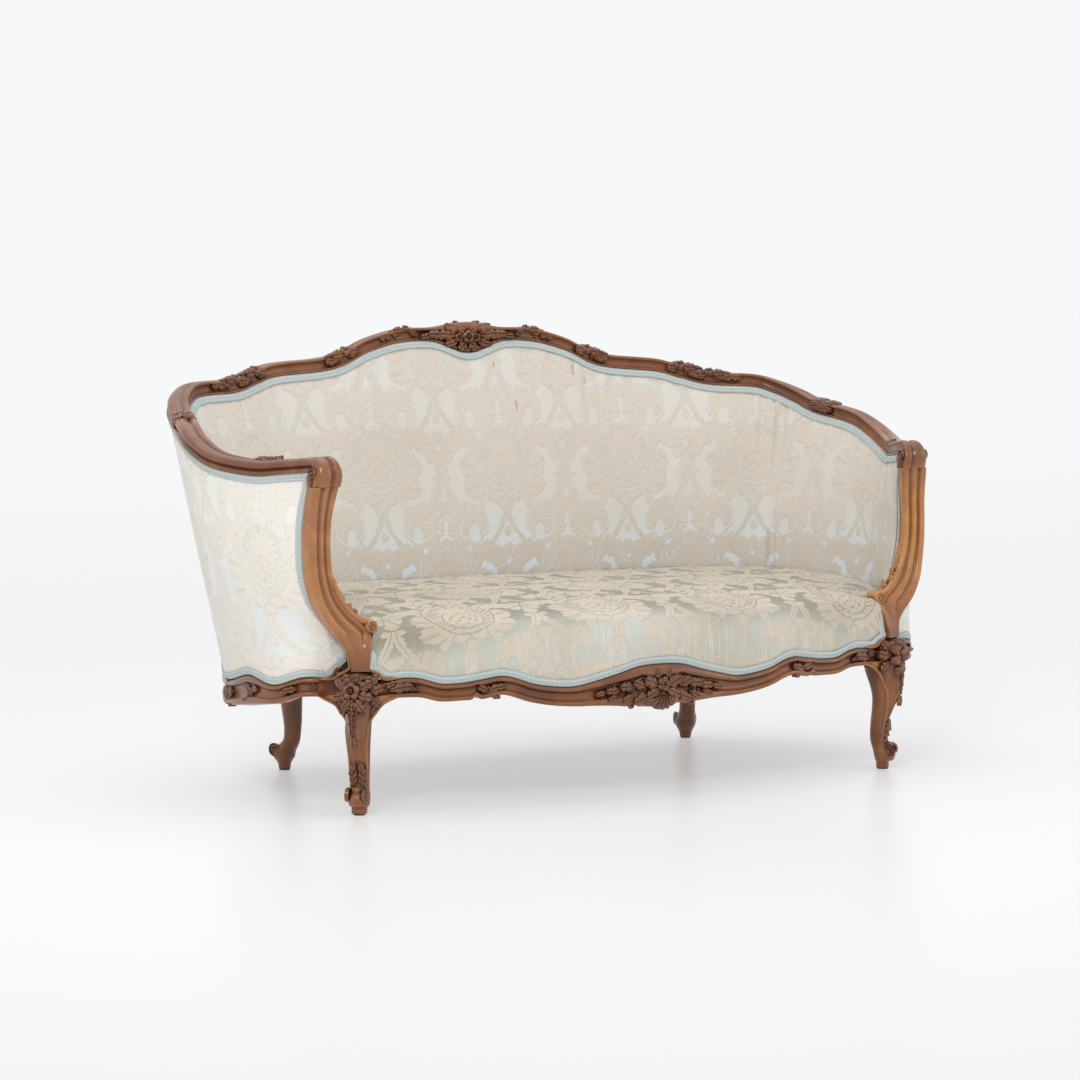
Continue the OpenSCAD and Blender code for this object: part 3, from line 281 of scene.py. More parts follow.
def grid_mesh(name, rows, closed=True, caps=True, material=None, flip=False):
    """Joins rows of points, in the pattern's frame, into one mesh with a UV map in metres."""
    points = [[to_frame(p) for p in r] for r in rows]
    n = len(points[0])
    across = n if closed else n - 1
    verts = [p for r in points for p in r]
    faces = []
    for i in range(len(points) - 1):
        for j in range(across):
            a, b = i * n + j, i * n + (j + 1) % n
            faces.append((a, b, b + n, a + n))
    mesh = bpy.data.meshes.new(name)
    if caps and closed:
        for ring, base in ((points[0], 0), (points[-1], (len(points) - 1) * n)):
            verts.append(sum(ring, Vector()) / n)
            k = len(verts) - 1
            for j in range(n):
                q = (k, base + (j + 1) % n, base + j)
                faces.append(q if base == 0 else q[::-1])
    mesh.from_pydata(verts, [], faces)
    uv = mesh.uv_layers.new(name="metres")
    length = [0.0]
    for i in range(1, len(points)):
        length.append(length[-1] + (points[i][n // 4] - points[i - 1][n // 4]).length)
    girth = [0.0]
    mid = points[len(points) // 2]
    for j in range(1, n + 1):
        girth.append(girth[-1] + (mid[j % n] - mid[j - 1]).length)
    body = (len(points) - 1) * across
    for f in range(body):
        i, j = divmod(f, across)
        for k, (di, dj) in enumerate(((0, 0), (0, 1), (1, 1), (1, 0))):
            uv.data[f * 4 + k].uv = (length[i + di], girth[j + dj])
    bm = bmesh.new()
    bm.from_mesh(mesh)
    if closed and caps:
        if bm.calc_volume(signed=True) < 0:
            bmesh.ops.reverse_faces(bm, faces=bm.faces)
    elif flip:
        bmesh.ops.reverse_faces(bm, faces=bm.faces)
    bm.to_mesh(mesh)
    bm.free()
    obj = bpy.data.objects.new(name, mesh)
    bpy.context.collection.objects.link(obj)
    if material:
        mesh.materials.append(material)
    return obj


def smooth_ring(points, times=3):
    """More points on a closed section, along a curve through the given ones."""
    n = len(points)
    out = []
    for i in range(n):
        a, b, c, d = (Vector(points[(i + k) % n]) for k in (-1, 0, 1, 2))
        for s in range(times):
            t = s / times
            out.append(b + ((c - a) / 2 + ((a * 2 - b * 5 + c * 4 - d) / 2 + (b * 3 - a - c * 3 + d) / 2 * t) * t) * t)
    return out


def span(start, stop, step):
    count = max(1, round((stop - start) / step))
    return [start + (stop - start) * i / count for i in range(count + 1)]


print("a square with", len(smooth_ring([(0, 0), (1, 0), (1, 1), (0, 1)])), "points round it")

# %% [markdown]
# Colours are picked from the finish, as sRGB, and Blender wants them linear. The patterns are sums of waves, noise and
# distances. Written as formulas they stay readable, and a small reader draws each formula as Math nodes.


# %% Material helpers
def linear(hexa):
    def channel(v):
        return v / 12.92 if v <= .04045 else ((v + .055) / 1.055) ** 2.4

    return tuple(channel(int(hexa[k:k + 2], 16) / 255) for k in (1, 3, 5)) + (1,)


def add(tree, kind, settings=None, links=None):
    """Adds one node; settings are its own values, links are values or sockets for its inputs."""
    node = tree.nodes.new("ShaderNode" + kind)
    for key, value in (settings or {}).items():
        setattr(node, key, value)
    for key, value in (links or {}).items():
        socket = node.inputs[key]
        if isinstance(value, bpy.types.NodeSocket):
            tree.links.new(value, socket)
        else:
            socket.default_value = value
    return node


MATH = {"Add": "ADD", "Sub": "SUBTRACT", "Mult": "MULTIPLY", "Div": "DIVIDE", "min": "MINIMUM", "max": "MAXIMUM",
        "abs": "ABSOLUTE", "sin": "SINE", "cos": "COSINE", "atan2": "ARCTAN2", "sqrt": "SQRT", "fract": "FRACT",
        "Lt": "LESS_THAN", "Gt": "GREATER_THAN"}


def formula(tree, text, **wires):
    """Draws a written formula as Math nodes and returns its last socket."""

    def draw(part):
        if isinstance(part, ast.Constant):
            return float(part.value)
        if isinstance(part, ast.Name):
            return wires[part.id]
        if isinstance(part, ast.UnaryOp):
            kind, parts = "Sub", [0.0, draw(part.operand)]
        elif isinstance(part, ast.BinOp):
            kind, parts = type(part.op).__name__, [draw(part.left), draw(part.right)]
        elif isinstance(part, ast.Compare):
            kind, parts = type(part.ops[0]).__name__, [draw(part.left), draw(part.comparators[0])]
        elif part.func.id == "soft":
            low, high, value = (draw(a) for a in part.args)
            return add(tree, "MapRange", {"interpolation_type": "SMOOTHSTEP"},
                       {0: value, 1: low, 2: high}).outputs[0]
        else:
            kind, parts = part.func.id, [draw(a) for a in part.args]
        if all(isinstance(p, float) for p in parts):
            a, b = (parts + [0])[:2]
            return {"Sub": a - b, "Add": a + b, "Mult": a * b, "Div": a / b if b else 0}[kind]
        return add(tree, "Math", {"operation": MATH[kind]}, dict(enumerate(parts))).outputs[0]

    return draw(ast.parse(text).body[0].value)


def surface(name):
    material = bpy.data.materials.new(name)
    material.use_nodes = True
    print("material:", name)
    return material, material.node_tree, material.node_tree.nodes["Principled BSDF"]


# %% [markdown]
# ## Walnut
# The show wood is European walnut, carved by hand, stained and waxed. To the eye that is a warm brown with darker
# pores along the grain and a soft gloss. The deep cuts carry painted shade, nearly black, found with Ambient
# Occlusion, and the sharp edges are painted honey-coloured, partly wear and partly a painted highlight, found with
# Pointiness.


# %% Walnut materials
def wood(name, base, dark, light, roughness, edge_wear_and_highlight=.5, ends=None):
    material, tree, shader = surface(name)
    place = add(tree, "TexCoord").outputs["Object"]
    # bands of colour about 110 mm wide, pores drawn about 2 mm apart, and painted shade in cuts up to 12 mm deep
    grain = add(tree, "Mapping", None, {"Vector": place, "Scale": (9, 9, 9)}).outputs[0]
    broad = add(tree, "TexNoise", None, {"Vector": grain, "Scale": 1.0, "Detail": 4.0, "Distortion": 1.2}).outputs[0]
    pores = add(tree, "TexNoise", None, {"Vector": place, "Scale": 420.0, "Detail": 3.0}).outputs[0]
    cut = add(tree, "AmbientOcclusion", {"samples": 8}, {"Distance": .012}).outputs["AO"]
    edge = add(tree, "NewGeometry").outputs["Pointiness"]
    tone = add(tree, "MixRGB", None, {0: formula(tree, "soft(0.35, 0.7, b)", b=broad), 1: linear(base),
                                      2: linear(light)}).outputs[0]
    if ends:
        # the tone is kept between about 0.3 and 0.7 m high and turns darker above and below
        height = add(tree, "SeparateXYZ", None, {0: place}).outputs[2]
        middle_band = formula(tree, "soft(0.29, 0.40, z) * (1 - soft(0.60, 0.73, z))", z=height)
        tone = add(tree, "MixRGB", None, {0: middle_band, 1: linear(ends), 2: tone}).outputs[0]
    # lighter sharp edges, partly wear and partly a painted highlight, then painted shade in the cuts, then the pores
    for share, colour in ((f"soft(0.5, 0.58, e) * {edge_wear_and_highlight}", "#b8803f"), ("(1 - soft(0.3, 0.97, c)) * 0.9", dark),
                          ("soft(0.56, 0.7, p) * 0.45", dark)):
        tone = add(tree, "MixRGB", None, {0: formula(tree, share, e=edge, c=cut, p=pores), 1: tone,
                                          2: linear(colour)}).outputs[0]
    tree.links.new(tone, shader.inputs["Base Color"])
    shader.inputs["Roughness"].default_value = roughness
    shader.inputs["Specular IOR Level"].default_value = .3
    shader.inputs["Coat Weight"].default_value = .55
    shader.inputs["Coat Roughness"].default_value = .16
    grainy = formula(tree, "p * 0.6 + b * 0.4", p=pores, b=broad)
    ridge = add(tree, "Bump", None, {"Strength": .25, "Distance": .0006, "Height": grainy}).outputs[0]
    tree.links.new(ridge, shader.inputs["Normal"])
    return material


# rails and legs; the deep carving, darker and with less of the lighter sharp edges; the supports, lighter and warmer,
# turning darker above about 0.6 m and below about 0.4 m high
walnut = wood("carved waxed walnut", "#6c3d23", "#1c0e08", "#8a5229", .4)
walnut_deep = wood("deep carved walnut", "#633720", "#170b06", "#7c4827", .34, .12)
walnut_warm = wood("banded warm walnut", "#9d6337", "#28150b", "#ba7f46", .36, ends="#7a4728")
# the frame inside was never stained: pale beech, planed on the saw
beech = wood("plain sawn beech", "#c9a36c", "#8a6a40", "#d8b880", .6)

# %% [markdown]
# ## Silk damask
# Damask is woven in one colour family: a satin ground that catches the light, and a dull figure that doesn't. The
# figure here is a common old one of round medallions with laurel and acanthus leaves, set in half-drop rows 322 mm
# wide. It is drawn with plain formulas on the cloth's own UV map, in metres, so it stays at its size and needs no
# picture.


# %% Damask figure as a node group
FIGURE = [
    ("x", "abs(across) * 1000"),
    ("y", "up * 1000"),
    # dome of petals
    ("da", "atan2(x, y - 30)"),
    ("dr", "sqrt(x * x / 4300 + (y - 30) * (y - 30) / 5000)"),
    ("petal", "abs(cos(da * 4.5))"),
    ("dome", "(1 - soft(0.95, 0.98, dr - 0.09 * petal)) * (y > 20)"),
    ("dome_line", "(1 - soft(0.1, 0.22, petal)) * (dr > 0.5) + (1 - soft(0.02, 0.05, abs(dr - 0.72 - 0.12 * "
     "petal))) * 0.8 + (1 - soft(0.05, 0.1, abs(petal - 0.93))) * (dr > 0.6) * (dr < 0.8)"),
    # serrated leaves at both sides
    ("sa", "atan2(x, y + 6)"),
    ("sr", "sqrt(x * x / 9600 + (y + 6) * (y + 6) / 7300)"),
    ("tooth", "abs(sin(sa * 5.2 + 0.5 + (sr - 1) * 1.2))"),
    ("side", "(1 - soft(0.97, 1.0, sr - 0.16 * tooth - 0.05 * abs(sin(sa * 21 + sr * 5)))) * (sa > 0.62) * (sa "
     "< 2.55)"),
    ("side_line", "max(1 - soft(0.08, 0.2, tooth), (1 - soft(0.02, 0.05, 1 - tooth)) * 0.6) * (sr > 0.8)"),
    # oval frame with laurel and a posy
    ("oval_r", "sqrt(x * x / 5600 + (y - 26) * (y - 26) / 7000)"),
    ("oval", "(1 - soft(0.99, 1.01, oval_r)) * (y < 66)"),
    ("ring", "(1 - soft(0.018, 0.04, abs(oval_r - 0.99))) * (y < 62)"),
    ("ir", "sqrt(x * x / 1850 + y * y / 1850)"),
    ("inner", "(1 - soft(0.02, 0.06, abs(ir - 1))) * (y < 36)"),
    ("oa", "atan2(x, y - 10)"),
    ("laurel", "(1 - soft(0.06, 0.11, abs(oval_r - 0.82))) * soft(0.0, 0.5, sin(oa * 24 + oval_r * 26)) * (y < "
     "52) * (y > -38)"),
    ("posy", "soft(0.2, 0.6, sin(x * 0.34 + 0.6) * cos(y * 0.25 - x * 0.12)) * (ir < 0.75)"),
    # bulb under the frame
    ("bulb_r", "sqrt(x * x / 420 + (y + 81) * (y + 81) / 380)"),
    ("bulb_l", "sqrt((x - 20) * (x - 20) / 380 + (y + 64) * (y + 64) / 200)"),
    ("bulb", "1 - soft(0.96, 1.04, min(bulb_r, bulb_l - 0.2 * abs(sin(x * 0.2))))"),
    ("bulb_line", "(1 - soft(0.06, 0.12, abs(bulb_r - 0.62))) + (1 - soft(0.05, 0.1, abs(bulb_l - 0.95)))"),
    ("medal", "max(max(dome, side), max(oval, bulb))"),
    ("lines", "max(max(ring, inner), max(laurel, posy * 0.8)) * (bulb_r > 1)"),
    ("lines", "max(lines, max(dome_line * dome * (ir > 1.1), side_line * side * (oval_r > 1.03)) * 0.8)"),
    ("lines", "max(lines, bulb_line * bulb * 0.7)"),
    ("medal", "medal * (1 - 0.8 * min(lines, 1))"),
    # rosette, bell and trefoil on the line between two medallions
    ("fx", "x - 161"),
    ("fr", "sqrt(fx * fx / 1500 + (y - 48) * (y - 48) / 1250)"),
    ("fa", "atan2(fx, y - 48)"),
    ("rosette", "(1 - soft(0.97, 1.02, fr - 0.14 * abs(cos(fa * 4)))) * (fr > 0.16) * (1 - 0.7 * soft(0.93, 0.99, "
     "abs(sin(fa * 4))) * (fr > 0.35))"),
    ("rosette", "rosette * (1 - 0.6 * (1 - soft(0.03, 0.06, abs(fr - 0.36))))"),
    ("bell", "1 - soft(0.9, 1.05, sqrt(fx * fx / 200 + (y - 2) * (y - 2) / 110) - 0.25 * abs(sin(fx * 0.3)))"),
    ("trefoil", "1 - soft(0.9, 1.05, sqrt(fx * fx / 230 + (y + 86) * (y + 86) / 170) - 0.4 * abs(sin(atan2(fx, y "
     "+ 86) * 1.5)))"),
    # limbs that part under the rosette and run to the curled leaves
    ("lt", "min(max((0 - 12 - y) / 95, 0), 1)"),
    ("lx", "0 - fx - 4 - 42 * lt * lt - 8 * lt"),
    ("limb", "(1 - soft(5.5, 7, abs(lx) - 2 * abs(sin(y * 0.22)) - 3 * sin(lt * 3.14))) * (y < -12) * (y > -108)"),
    ("limb", "limb * (1 - 0.8 * (1 - soft(0.6, 1.6, abs(lx))))"),
    ("tip", "1 - soft(0.9, 1.05, sqrt((0 - fx - 17) * (0 - fx - 17) / 110 + (y + 18) * (y + 18) / 50))"),
    # curled leaf
    ("cx", "x - 103"),
    ("cy", "y + 126"),
    ("cr", "sqrt(cx * cx / 2500 + cy * cy / 2100)"),
    ("ca", "atan2(cx, cy)"),
    ("curl", "(1 - soft(0.96, 1.0, cr - 0.13 * abs(cos(ca * 5)) - 0.03 * abs(sin(ca * 27))))"),
    ("hole", "1 - soft(0.9, 1.05, sqrt((cx + 16) * (cx + 16) / 170 + (cy + 22) * (cy + 22) / 500))"),
    ("spiral", "soft(0.86, 0.97, cos(ca - cr * 5.2 + 0.6)) * (cr > 0.1)"),
    ("fringe", "soft(0.93, 0.99, abs(sin(ca * 5 + cr * 1.3))) * (cr > 0.62)"),
    ("curl", "curl * (1 - hole) * (1 - 0.8 * max(spiral, fringe))"),
    # stems that part under the bulb and end in sprays
    ("st", "min(max((0 - 98 - y) / 84, 0), 1)"),
    ("sx", "x - 2 - 20 * st - 32 * st * st"),
    ("stem", "(1 - soft(4.5, 6, abs(sx) - 5 * sin(st * 3.14) * abs(cos(st * 3)))) * (y < -98) * (y > -186)"),
    ("stem", "stem * (1 - 0.8 * (1 - soft(0.5, 1.5, abs(sx))))"),
    ("px", "x - 60"),
    ("pr", "sqrt(px * px / 1500 + (y + 190) * (y + 190) / 560)"),
    ("pa", "atan2(px, y + 190)"),
    ("spray", "(1 - soft(0.9, 1.0, pr + 0.28 - 0.5 * abs(cos(pa * 2.5 + 0.4)))) * (1 - 0.7 * soft(0.9, 0.99, "
     "abs(cos(pa * 2.5 + 0.4))) * (1 - soft(0.02, 0.1, abs(sin(pa * 5 + 0.8)))))"),
    ("bud", "1 - soft(0.9, 1.1, sqrt(x * x / 70 + (y + 146) * (y + 146) / 130))"),
    ("fronds", "max(max(limb, tip), max(stem, spray))"),
    ("small", "max(max(rosette, bell), max(trefoil, bud))"),
    ("figure", "max(max(medal, small), max(fronds, curl))"),
]


def figure_group():
    group = bpy.data.node_groups.new("damask figure", "ShaderNodeTree")
    for name in ("across", "up"):
        group.interface.new_socket(name, in_out="INPUT", socket_type="NodeSocketFloat")
    group.interface.new_socket("figure", in_out="OUTPUT", socket_type="NodeSocketFloat")
    start = group.nodes.new("NodeGroupInput")
    end = group.nodes.new("NodeGroupOutput")
    wires = {"across": start.outputs[0], "up": start.outputs[1]}
    for name, text in FIGURE:
        wires[name] = formula(group, text, **wires)
    group.links.new(wires["figure"], end.inputs[0])
    return group


figure_nodes = figure_group()
print("damask figure:", len(figure_nodes.nodes), "nodes")


# %% [markdown]
# The cloth's colours come in pairs, ground and figure, and a second pair takes over towards the low end of the UV map.
# On the inside of the back that lower pair is a painted blue sheen on the satin ground and painted shade on the
# figure. On the outside it is only darker and cooler, and on the seat the front roll has a lighter ground and figure
# than the top. The pattern is laid twice, half a repeat apart, and its edge wanders by a few millimetres, as
# hand-drawn weaving patterns do.


# %% Damask material
REPEAT_W, REPEAT_H, THREAD = .322, .524, 2850


def damask(name, ground, figure, low_ground, low_figure, soil, dirt, shifts, low=(.40, .60), wear=0.0, stains=()):
    material, tree, shader = surface(name)
    uv = add(tree, "UVMap", {"uv_map": "metres"}).outputs[0]
    place = add(tree, "TexCoord").outputs["Object"]
    wave = add(tree, "TexNoise", None, {"Vector": uv, "Scale": 8.0, "Detail": 2.0}).outputs[0]
    ragged = add(tree, "TexNoise", None, {"Vector": uv, "Scale": 95.0, "Detail": 3.0}).outputs[0]
    fade = add(tree, "TexNoise", None, {"Vector": place, "Scale": 3.0, "Detail": 3.0}).outputs[0]
    split = add(tree, "SeparateXYZ", None, {0: uv})
    wires = {"u": split.outputs[0], "v": split.outputs[1], "w": wave, "g": ragged, "n": fade}
    parts = []
    for half in (0, 1):
        ends = []
        for axis, shift, repeat in (("u", shifts[0], REPEAT_W), ("v", shifts[1], REPEAT_H)):
            ends.append(formula(tree, f"(fract(({axis} - {shift}) / {repeat} + {0.5 + half / 2}) - 0.5) * {repeat} "
                                      "+ (w - 0.5) * 0.012 + (g - 0.5) * 0.012", **wires))
        node = add(tree, "Group", {"node_tree": figure_nodes}, {0: ends[0], 1: ends[1]})
        parts.append(node.outputs[0])
    wires["m"] = formula(tree, "max(a, b)", a=parts[0], b=parts[1])
    # the real threads lie 0.3 mm apart; they are drawn 1.1 mm apart, the finest that shows from here
    wires["t"] = formula(tree, f"m * abs(sin(v * {THREAD})) + (1 - m) * abs(sin(u * {THREAD})) * 0.5", **wires)
    # d is 1 at the low end of the UV map, where the lower pair of colours takes over; on the inside of the back that
    # pair is painted sheen and painted shade
    wires["d"] = formula(tree, f"1 - soft({low[0]}, {low[1]}, v + (n - 0.5) * 0.16)", **wires)
    pair = [add(tree, "MixRGB", None, {0: wires["d"], 1: linear(high_tone), 2: linear(low_tone)}).outputs[0]
            for high_tone, low_tone in ((ground, low_ground), (figure, low_figure))]
    colour = add(tree, "MixRGB", None, {0: wires["m"], 1: pair[0], 2: pair[1]}).outputs[0]
    # a fine line of shade at the figure's edge, dust, worn threads and small brown stains
    layers = [("(1 - soft(0.1, 0.45, abs(m - 0.5))) * 0.22", "#a39d8e"), (f"soft(0.42, 0.72, n) * {dirt}", soil)]
    if wear:
        stretched = add(tree, "Mapping", None, {"Vector": uv, "Scale": (170, 9, 1)}).outputs[0]
        wires["s"] = add(tree, "TexNoise", None, {"Vector": stretched, "Scale": 1.0, "Detail": 4.0}).outputs[0]
        layers.append((f"soft(0.52, 0.68, s) * d * {wear}", "#e8e0d2"))
    for x, z, wide, high in stains:
        layers.append((f"(1 - soft(0.3, 1, sqrt((u - {x}) * (u - {x}) / {wide ** 2:.7f} + (v - {z}) * (v - {z}) / "
                       f"{high ** 2:.7f}) + (g - 0.5) * 1.6)) * 0.6", "#b98a4e"))
    for share, tint in layers:
        colour = add(tree, "MixRGB", None, {0: formula(tree, share, **wires), 1: colour,
                                            2: linear(tint)}).outputs[0]
    colour = add(tree, "MixRGB", {"blend_type": "MULTIPLY"},
                 {0: formula(tree, "0.2 * t + 0.1 * g", **wires), 1: colour, 2: (.80, .78, .74, 1)}).outputs[0]
    tree.links.new(colour, shader.inputs["Base Color"])
    tree.links.new(formula(tree, "0.42 + m * 0.28", **wires), shader.inputs["Roughness"])
    shader.inputs["Sheen Weight"].default_value = .2
    shader.inputs["Sheen Roughness"].default_value = .4
    shader.inputs["Specular IOR Level"].default_value = .45
    height = formula(tree, "m * 0.7 + t * 0.3", **wires)
    relief = add(tree, "Bump", None, {"Strength": .7, "Distance": .0016, "Height": height}).outputs[0]
    tree.links.new(relief, shader.inputs["Normal"])
    return material


BACK_STAINS = [(.105, .800, .004, .018), (.262, .880, .006, .016), (.290, .852, .004, .020), (.058, .895, .004, .010)]
# lower pair here: a painted blue sheen on the ground and painted shade on the figure
damask_inside = damask("silk damask of the back", "#dad7ce", "#e2d9cc", "#d6dee3", "#d6ccbd", "#cdc2ae", .2,
                       (.055, .657), stains=BACK_STAINS)
damask_outside = damask("silk damask of the outside", "#f0efe9", "#f8f1e6", "#e4e8e6", "#f5ede1", "#ece3d3", .2,
                        (.10, .50))
damask_seat = damask("silk damask of the seat", "#8f8b7a", "#d6cab6", "#c8cac0", "#e0d4c2", "#a9a08a", .35,
                     (.06, -.10), low=(-.47, -.37), wear=.5)


# %% [markdown]
# ## Cloths and metal that stay out of sight
# Linen canvas and jute webbing are plain weaves, so two crossed waves raise their threads. Spring wire and iron glides
# are bare metal, mottled by age.


# %% Plain cloths and metal
def plain(name, colour, roughness, pitch=0.0):
    material, tree, shader = surface(name)
    place = add(tree, "TexCoord").outputs["Object"]
    # patches of age about 25 mm wide
    mottled = add(tree, "TexNoise", None, {"Vector": place, "Scale": 40.0, "Detail": 5.0}).outputs[0]
    dark = tuple(c * .7 for c in linear(colour)[:3]) + (1,)
    tone = add(tree, "MixRGB", None, {0: formula(tree, "soft(0.35, 0.75, n)", n=mottled), 1: linear(colour),
                                      2: dark}).outputs[0]
    tree.links.new(tone, shader.inputs["Base Color"])
    shader.inputs["Roughness"].default_value = roughness
    if pitch:
        axes = add(tree, "SeparateXYZ", None, {0: place})
        wave = 3.14159 / pitch
        weave = formula(tree, f"sin(x * {wave}) * sin((y + z) * {wave})", x=axes.outputs[0], y=axes.outputs[1],
                        z=axes.outputs[2])
        bumps = add(tree, "Bump", None, {"Strength": .5, "Distance": .0008, "Height": weave}).outputs[0]
        tree.links.new(bumps, shader.inputs["Normal"])
    return material


linen = plain("coarse linen", "#b9a27c", .9, .0012)
jute = plain("jute webbing", "#a98a5c", .9, .0025)
steel = plain("drawn spring wire", "#8d9095", .35)
iron = plain("worn iron glide", "#4a4744", .5)
for metal in (steel, iron):
    metal.node_tree.nodes["Principled BSDF"].inputs["Metallic"].default_value = 1

# %% [markdown]
# ## Braid
# The nails are hidden by a narrow woven braid of pale blue silk, with two rows of small scallops. It is a thin strip
# on a UV map in metres: the scallops are a wave along it, raised by a bump.


# %% Braid material
STITCH, TWILL, ROWS = 2100, 1050, (.0042, .0118)  # one scallop in 3 mm, one twill rib in 3 mm, rows 4 and 12 mm up


def braid_material():
    material, tree, shader = surface("woven silk braid")
    uv = add(tree, "SeparateXYZ", None, {0: add(tree, "UVMap", {"uv_map": "metres"}).outputs[0]})
    u, v = uv.outputs[0], uv.outputs[1]
    stitch = formula(tree, f"soft(0 - 0.6, 0.5, sin(u * {STITCH}))", u=u)
    rope = formula(tree, f"max(1 - soft(0.0012, 0.0026, abs(v - {ROWS[0]})), 1 - soft(0.0012, 0.0026, "
                         f"abs(v - {ROWS[1]})))", v=v)
    twill = formula(tree, f"abs(sin(u * {TWILL} + v * 900))", u=u, v=v)
    height = formula(tree, "max(r * k, 0.45 * t * (1 - r))", r=rope, k=stitch, t=twill)
    # the colour follows the relief: painted shade in the low gaps and a painted highlight on the raised scallops and
    # ribs
    colour = add(tree, "MixRGB", None, {0: height, 1: linear("#8fa2a2"), 2: linear("#eef2ee")}).outputs[0]
    tree.links.new(colour, shader.inputs["Base Color"])
    shader.inputs["Roughness"].default_value = .6
    relief = add(tree, "Bump", None, {"Strength": .8, "Distance": .0012, "Height": height}).outputs[0]
    tree.links.new(relief, shader.inputs["Normal"])
    return material


braid = braid_material()

# %% [markdown]
# ## Top rail
# The top rail runs round the back and both arms in five lengths. Its face has two rounded ridges with a quirk between
# them, a hollow, and a bead beside the braid.

# %% Top rail
RAIL_SECTION = smooth_ring([
    (-.40, -1), (-.49, -.99), (-.52, -.92), (-.50, -.85), (-.44, -.81), (-.40, -.75), (-.36, -.62), (-.355, -.46),
    (-.39, -.32), (-.44, -.25), (-.49, -.22), (-.515, -.14), (-.49, -.05), (-.42, -.005), (-.33, 0), (-.25, -.03),
    (-.20, -.11), (-.16, -.14), (-.11, -.10), (0, -.03), (.12, -.01), (.25, -.035), (.36, -.11), (.44, -.22),
    (.475, -.35), (.46, -.48), (.41, -.57), (.37, -.62), (.41, -.68), (.47, -.74), (.50, -.80), (.52, -.90),
    (.49, -.99), (.40, -1)], 3)


def top_ring(u):
    p, out = top_at(u), outward(top_rows, u)
    rise = CREST_RISE * crest_at(u)
    face = RAIL_T + CREST_DROP * crest_at(u) + rise
    return [p + out * (q[0] * RAIL_W) + Vector((0, 0, rise + q[1] * face)) for q in RAIL_SECTION]


def mirror_rows(rows):
    return [[Vector((-p[0], p[1], p[2])) for p in r] for r in rows]


def both_sides(name, rows, material, node=None, slot="walnut", smooth=50, **more):
    for side, shape in (("right", rows), ("left", mirror_rows(rows))):
        piece = finish(grid_mesh(f"{name}_{side}", shape, material=material, **more), smooth)
        if node:
            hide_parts(f"{node}_{side}")


centre = finish(grid_mesh("walnut_top_rail_centre", [top_ring(u) for u in span(-CORNER, CORNER, .08)],
                          material=walnut), 50)
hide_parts("top_rail_centre")
both_sides("walnut_top_rail_corner", [top_ring(u) for u in span(CORNER + .004, ARM_JOINT - .004, .08)], walnut,
           "top_rail_corner")


# %% [markdown]
# At its front end each arm rail turns down over the head of the support, in a quarter circle that swells forward a
# little. A spin could turn the section, but it also widens here, so its rings are placed one by one.


# %% Arm rails
def nose_ring(turn, drop, proud):
    p = post_rows[0]
    out, back = post_axes(p[4])
    a = math.radians(turn)
    depth, wide = blend(RAIL_T, POST_D, turn / 90), blend(RAIL_W, p[3], turn / 90)
    centre = Vector((p[0], p[1], ARM_H - POST_D)) + back * POST_D
    radial = Vector((0, 0, math.cos(a))) - back * math.sin(a)
    return [centre + radial * (POST_D + q[1] * min(depth, POST_D - .002) + (1 + q[1]) * proud * math.sin(a))
            + out * (q[0] * wide) - Vector((0, 0, drop)) for q in RAIL_SECTION]


arm_rows = [top_ring(u) for u in span(ARM_JOINT + .004, NOSE, .08)]
arm_rows += [nose_ring(9 * i, 0, NOSE_PROUD) for i in range(11)]
arm_rows.append(nose_ring(90, (ARM_H - POST_D - POST_JOINT) * .6, NOSE_PROUD * .6))
arm_rows.append(nose_ring(90, ARM_H - POST_D - POST_JOINT - GAP, NOSE_PROUD * .25))
both_sides("walnut_arm_rail", arm_rows, walnut, "arm_rail")

# %% [markdown]
# ## Carving
# A carver cuts a few motifs again and again: an acanthus leaf, a small flower, a berry, a scallop shell and a scroll.
# Each motif is made once as a relief with a formula for its lobes and veins, because a relief this small is all
# curved surface. Copies of them, each with its own mesh, are then turned, sized and laid on the wood.


# %% Motifs
SHARP = .6  # the power that rounds the lobes of leaves and petals


def motif(name, rows):
    points = [p for r in rows for p in r]
    n = len(rows[0])
    faces = [(i * n + j, i * n + (j + 1) % n, (i + 1) * n + (j + 1) % n, (i + 1) * n + j)
             for i in range(len(rows) - 1) for j in range(n)]
    mesh = bpy.data.meshes.new(name)
    mesh.from_pydata(points, [], faces + [tuple(range(n))[::-1], tuple(range(len(points) - n, len(points)))])
    bm = bmesh.new()
    bm.from_mesh(mesh)
    if bm.calc_volume(signed=True) < 0:
        bmesh.ops.reverse_faces(bm, faces=bm.faces)
    bm.to_mesh(mesh)
    bm.free()
    print("motif:", name, len(mesh.polygons), "faces")
    return mesh


def leaf_rows(lobes, bend, curl, width=.34, height=.20, steps=30, across=12):
    rows = []
    for i in range(steps + 1):
        t = i / steps
        lobe = abs(math.cos(lobes * math.pi * t)) ** SHARP
        half = width * math.sin(math.pi * min(t * .97 + .025, 1)) ** SHARP * (.68 + .32 * lobe)
        middle = Vector((t, bend * t * t, curl * t ** 3))
        side = Vector((-2 * bend * t, 1, 0)).normalized()
        top = []
        for j in range(across + 1):
            q = -1 + 2 * j / across
            groove = .30 * math.exp(-(q / .15) ** 2) + (1 - lobe) * .16 * abs(q)
            z = height * (max(1 - q * q, 0) ** .5 * (.6 + .4 * math.sin(math.pi * t ** .7)) - groove)
            top.append(middle + side * (half * q) + Vector((0, 0, z)))
        rows.append(top + [Vector((v.x, v.y, -.22)) for v in reversed(top[1:-1])])
    return rows


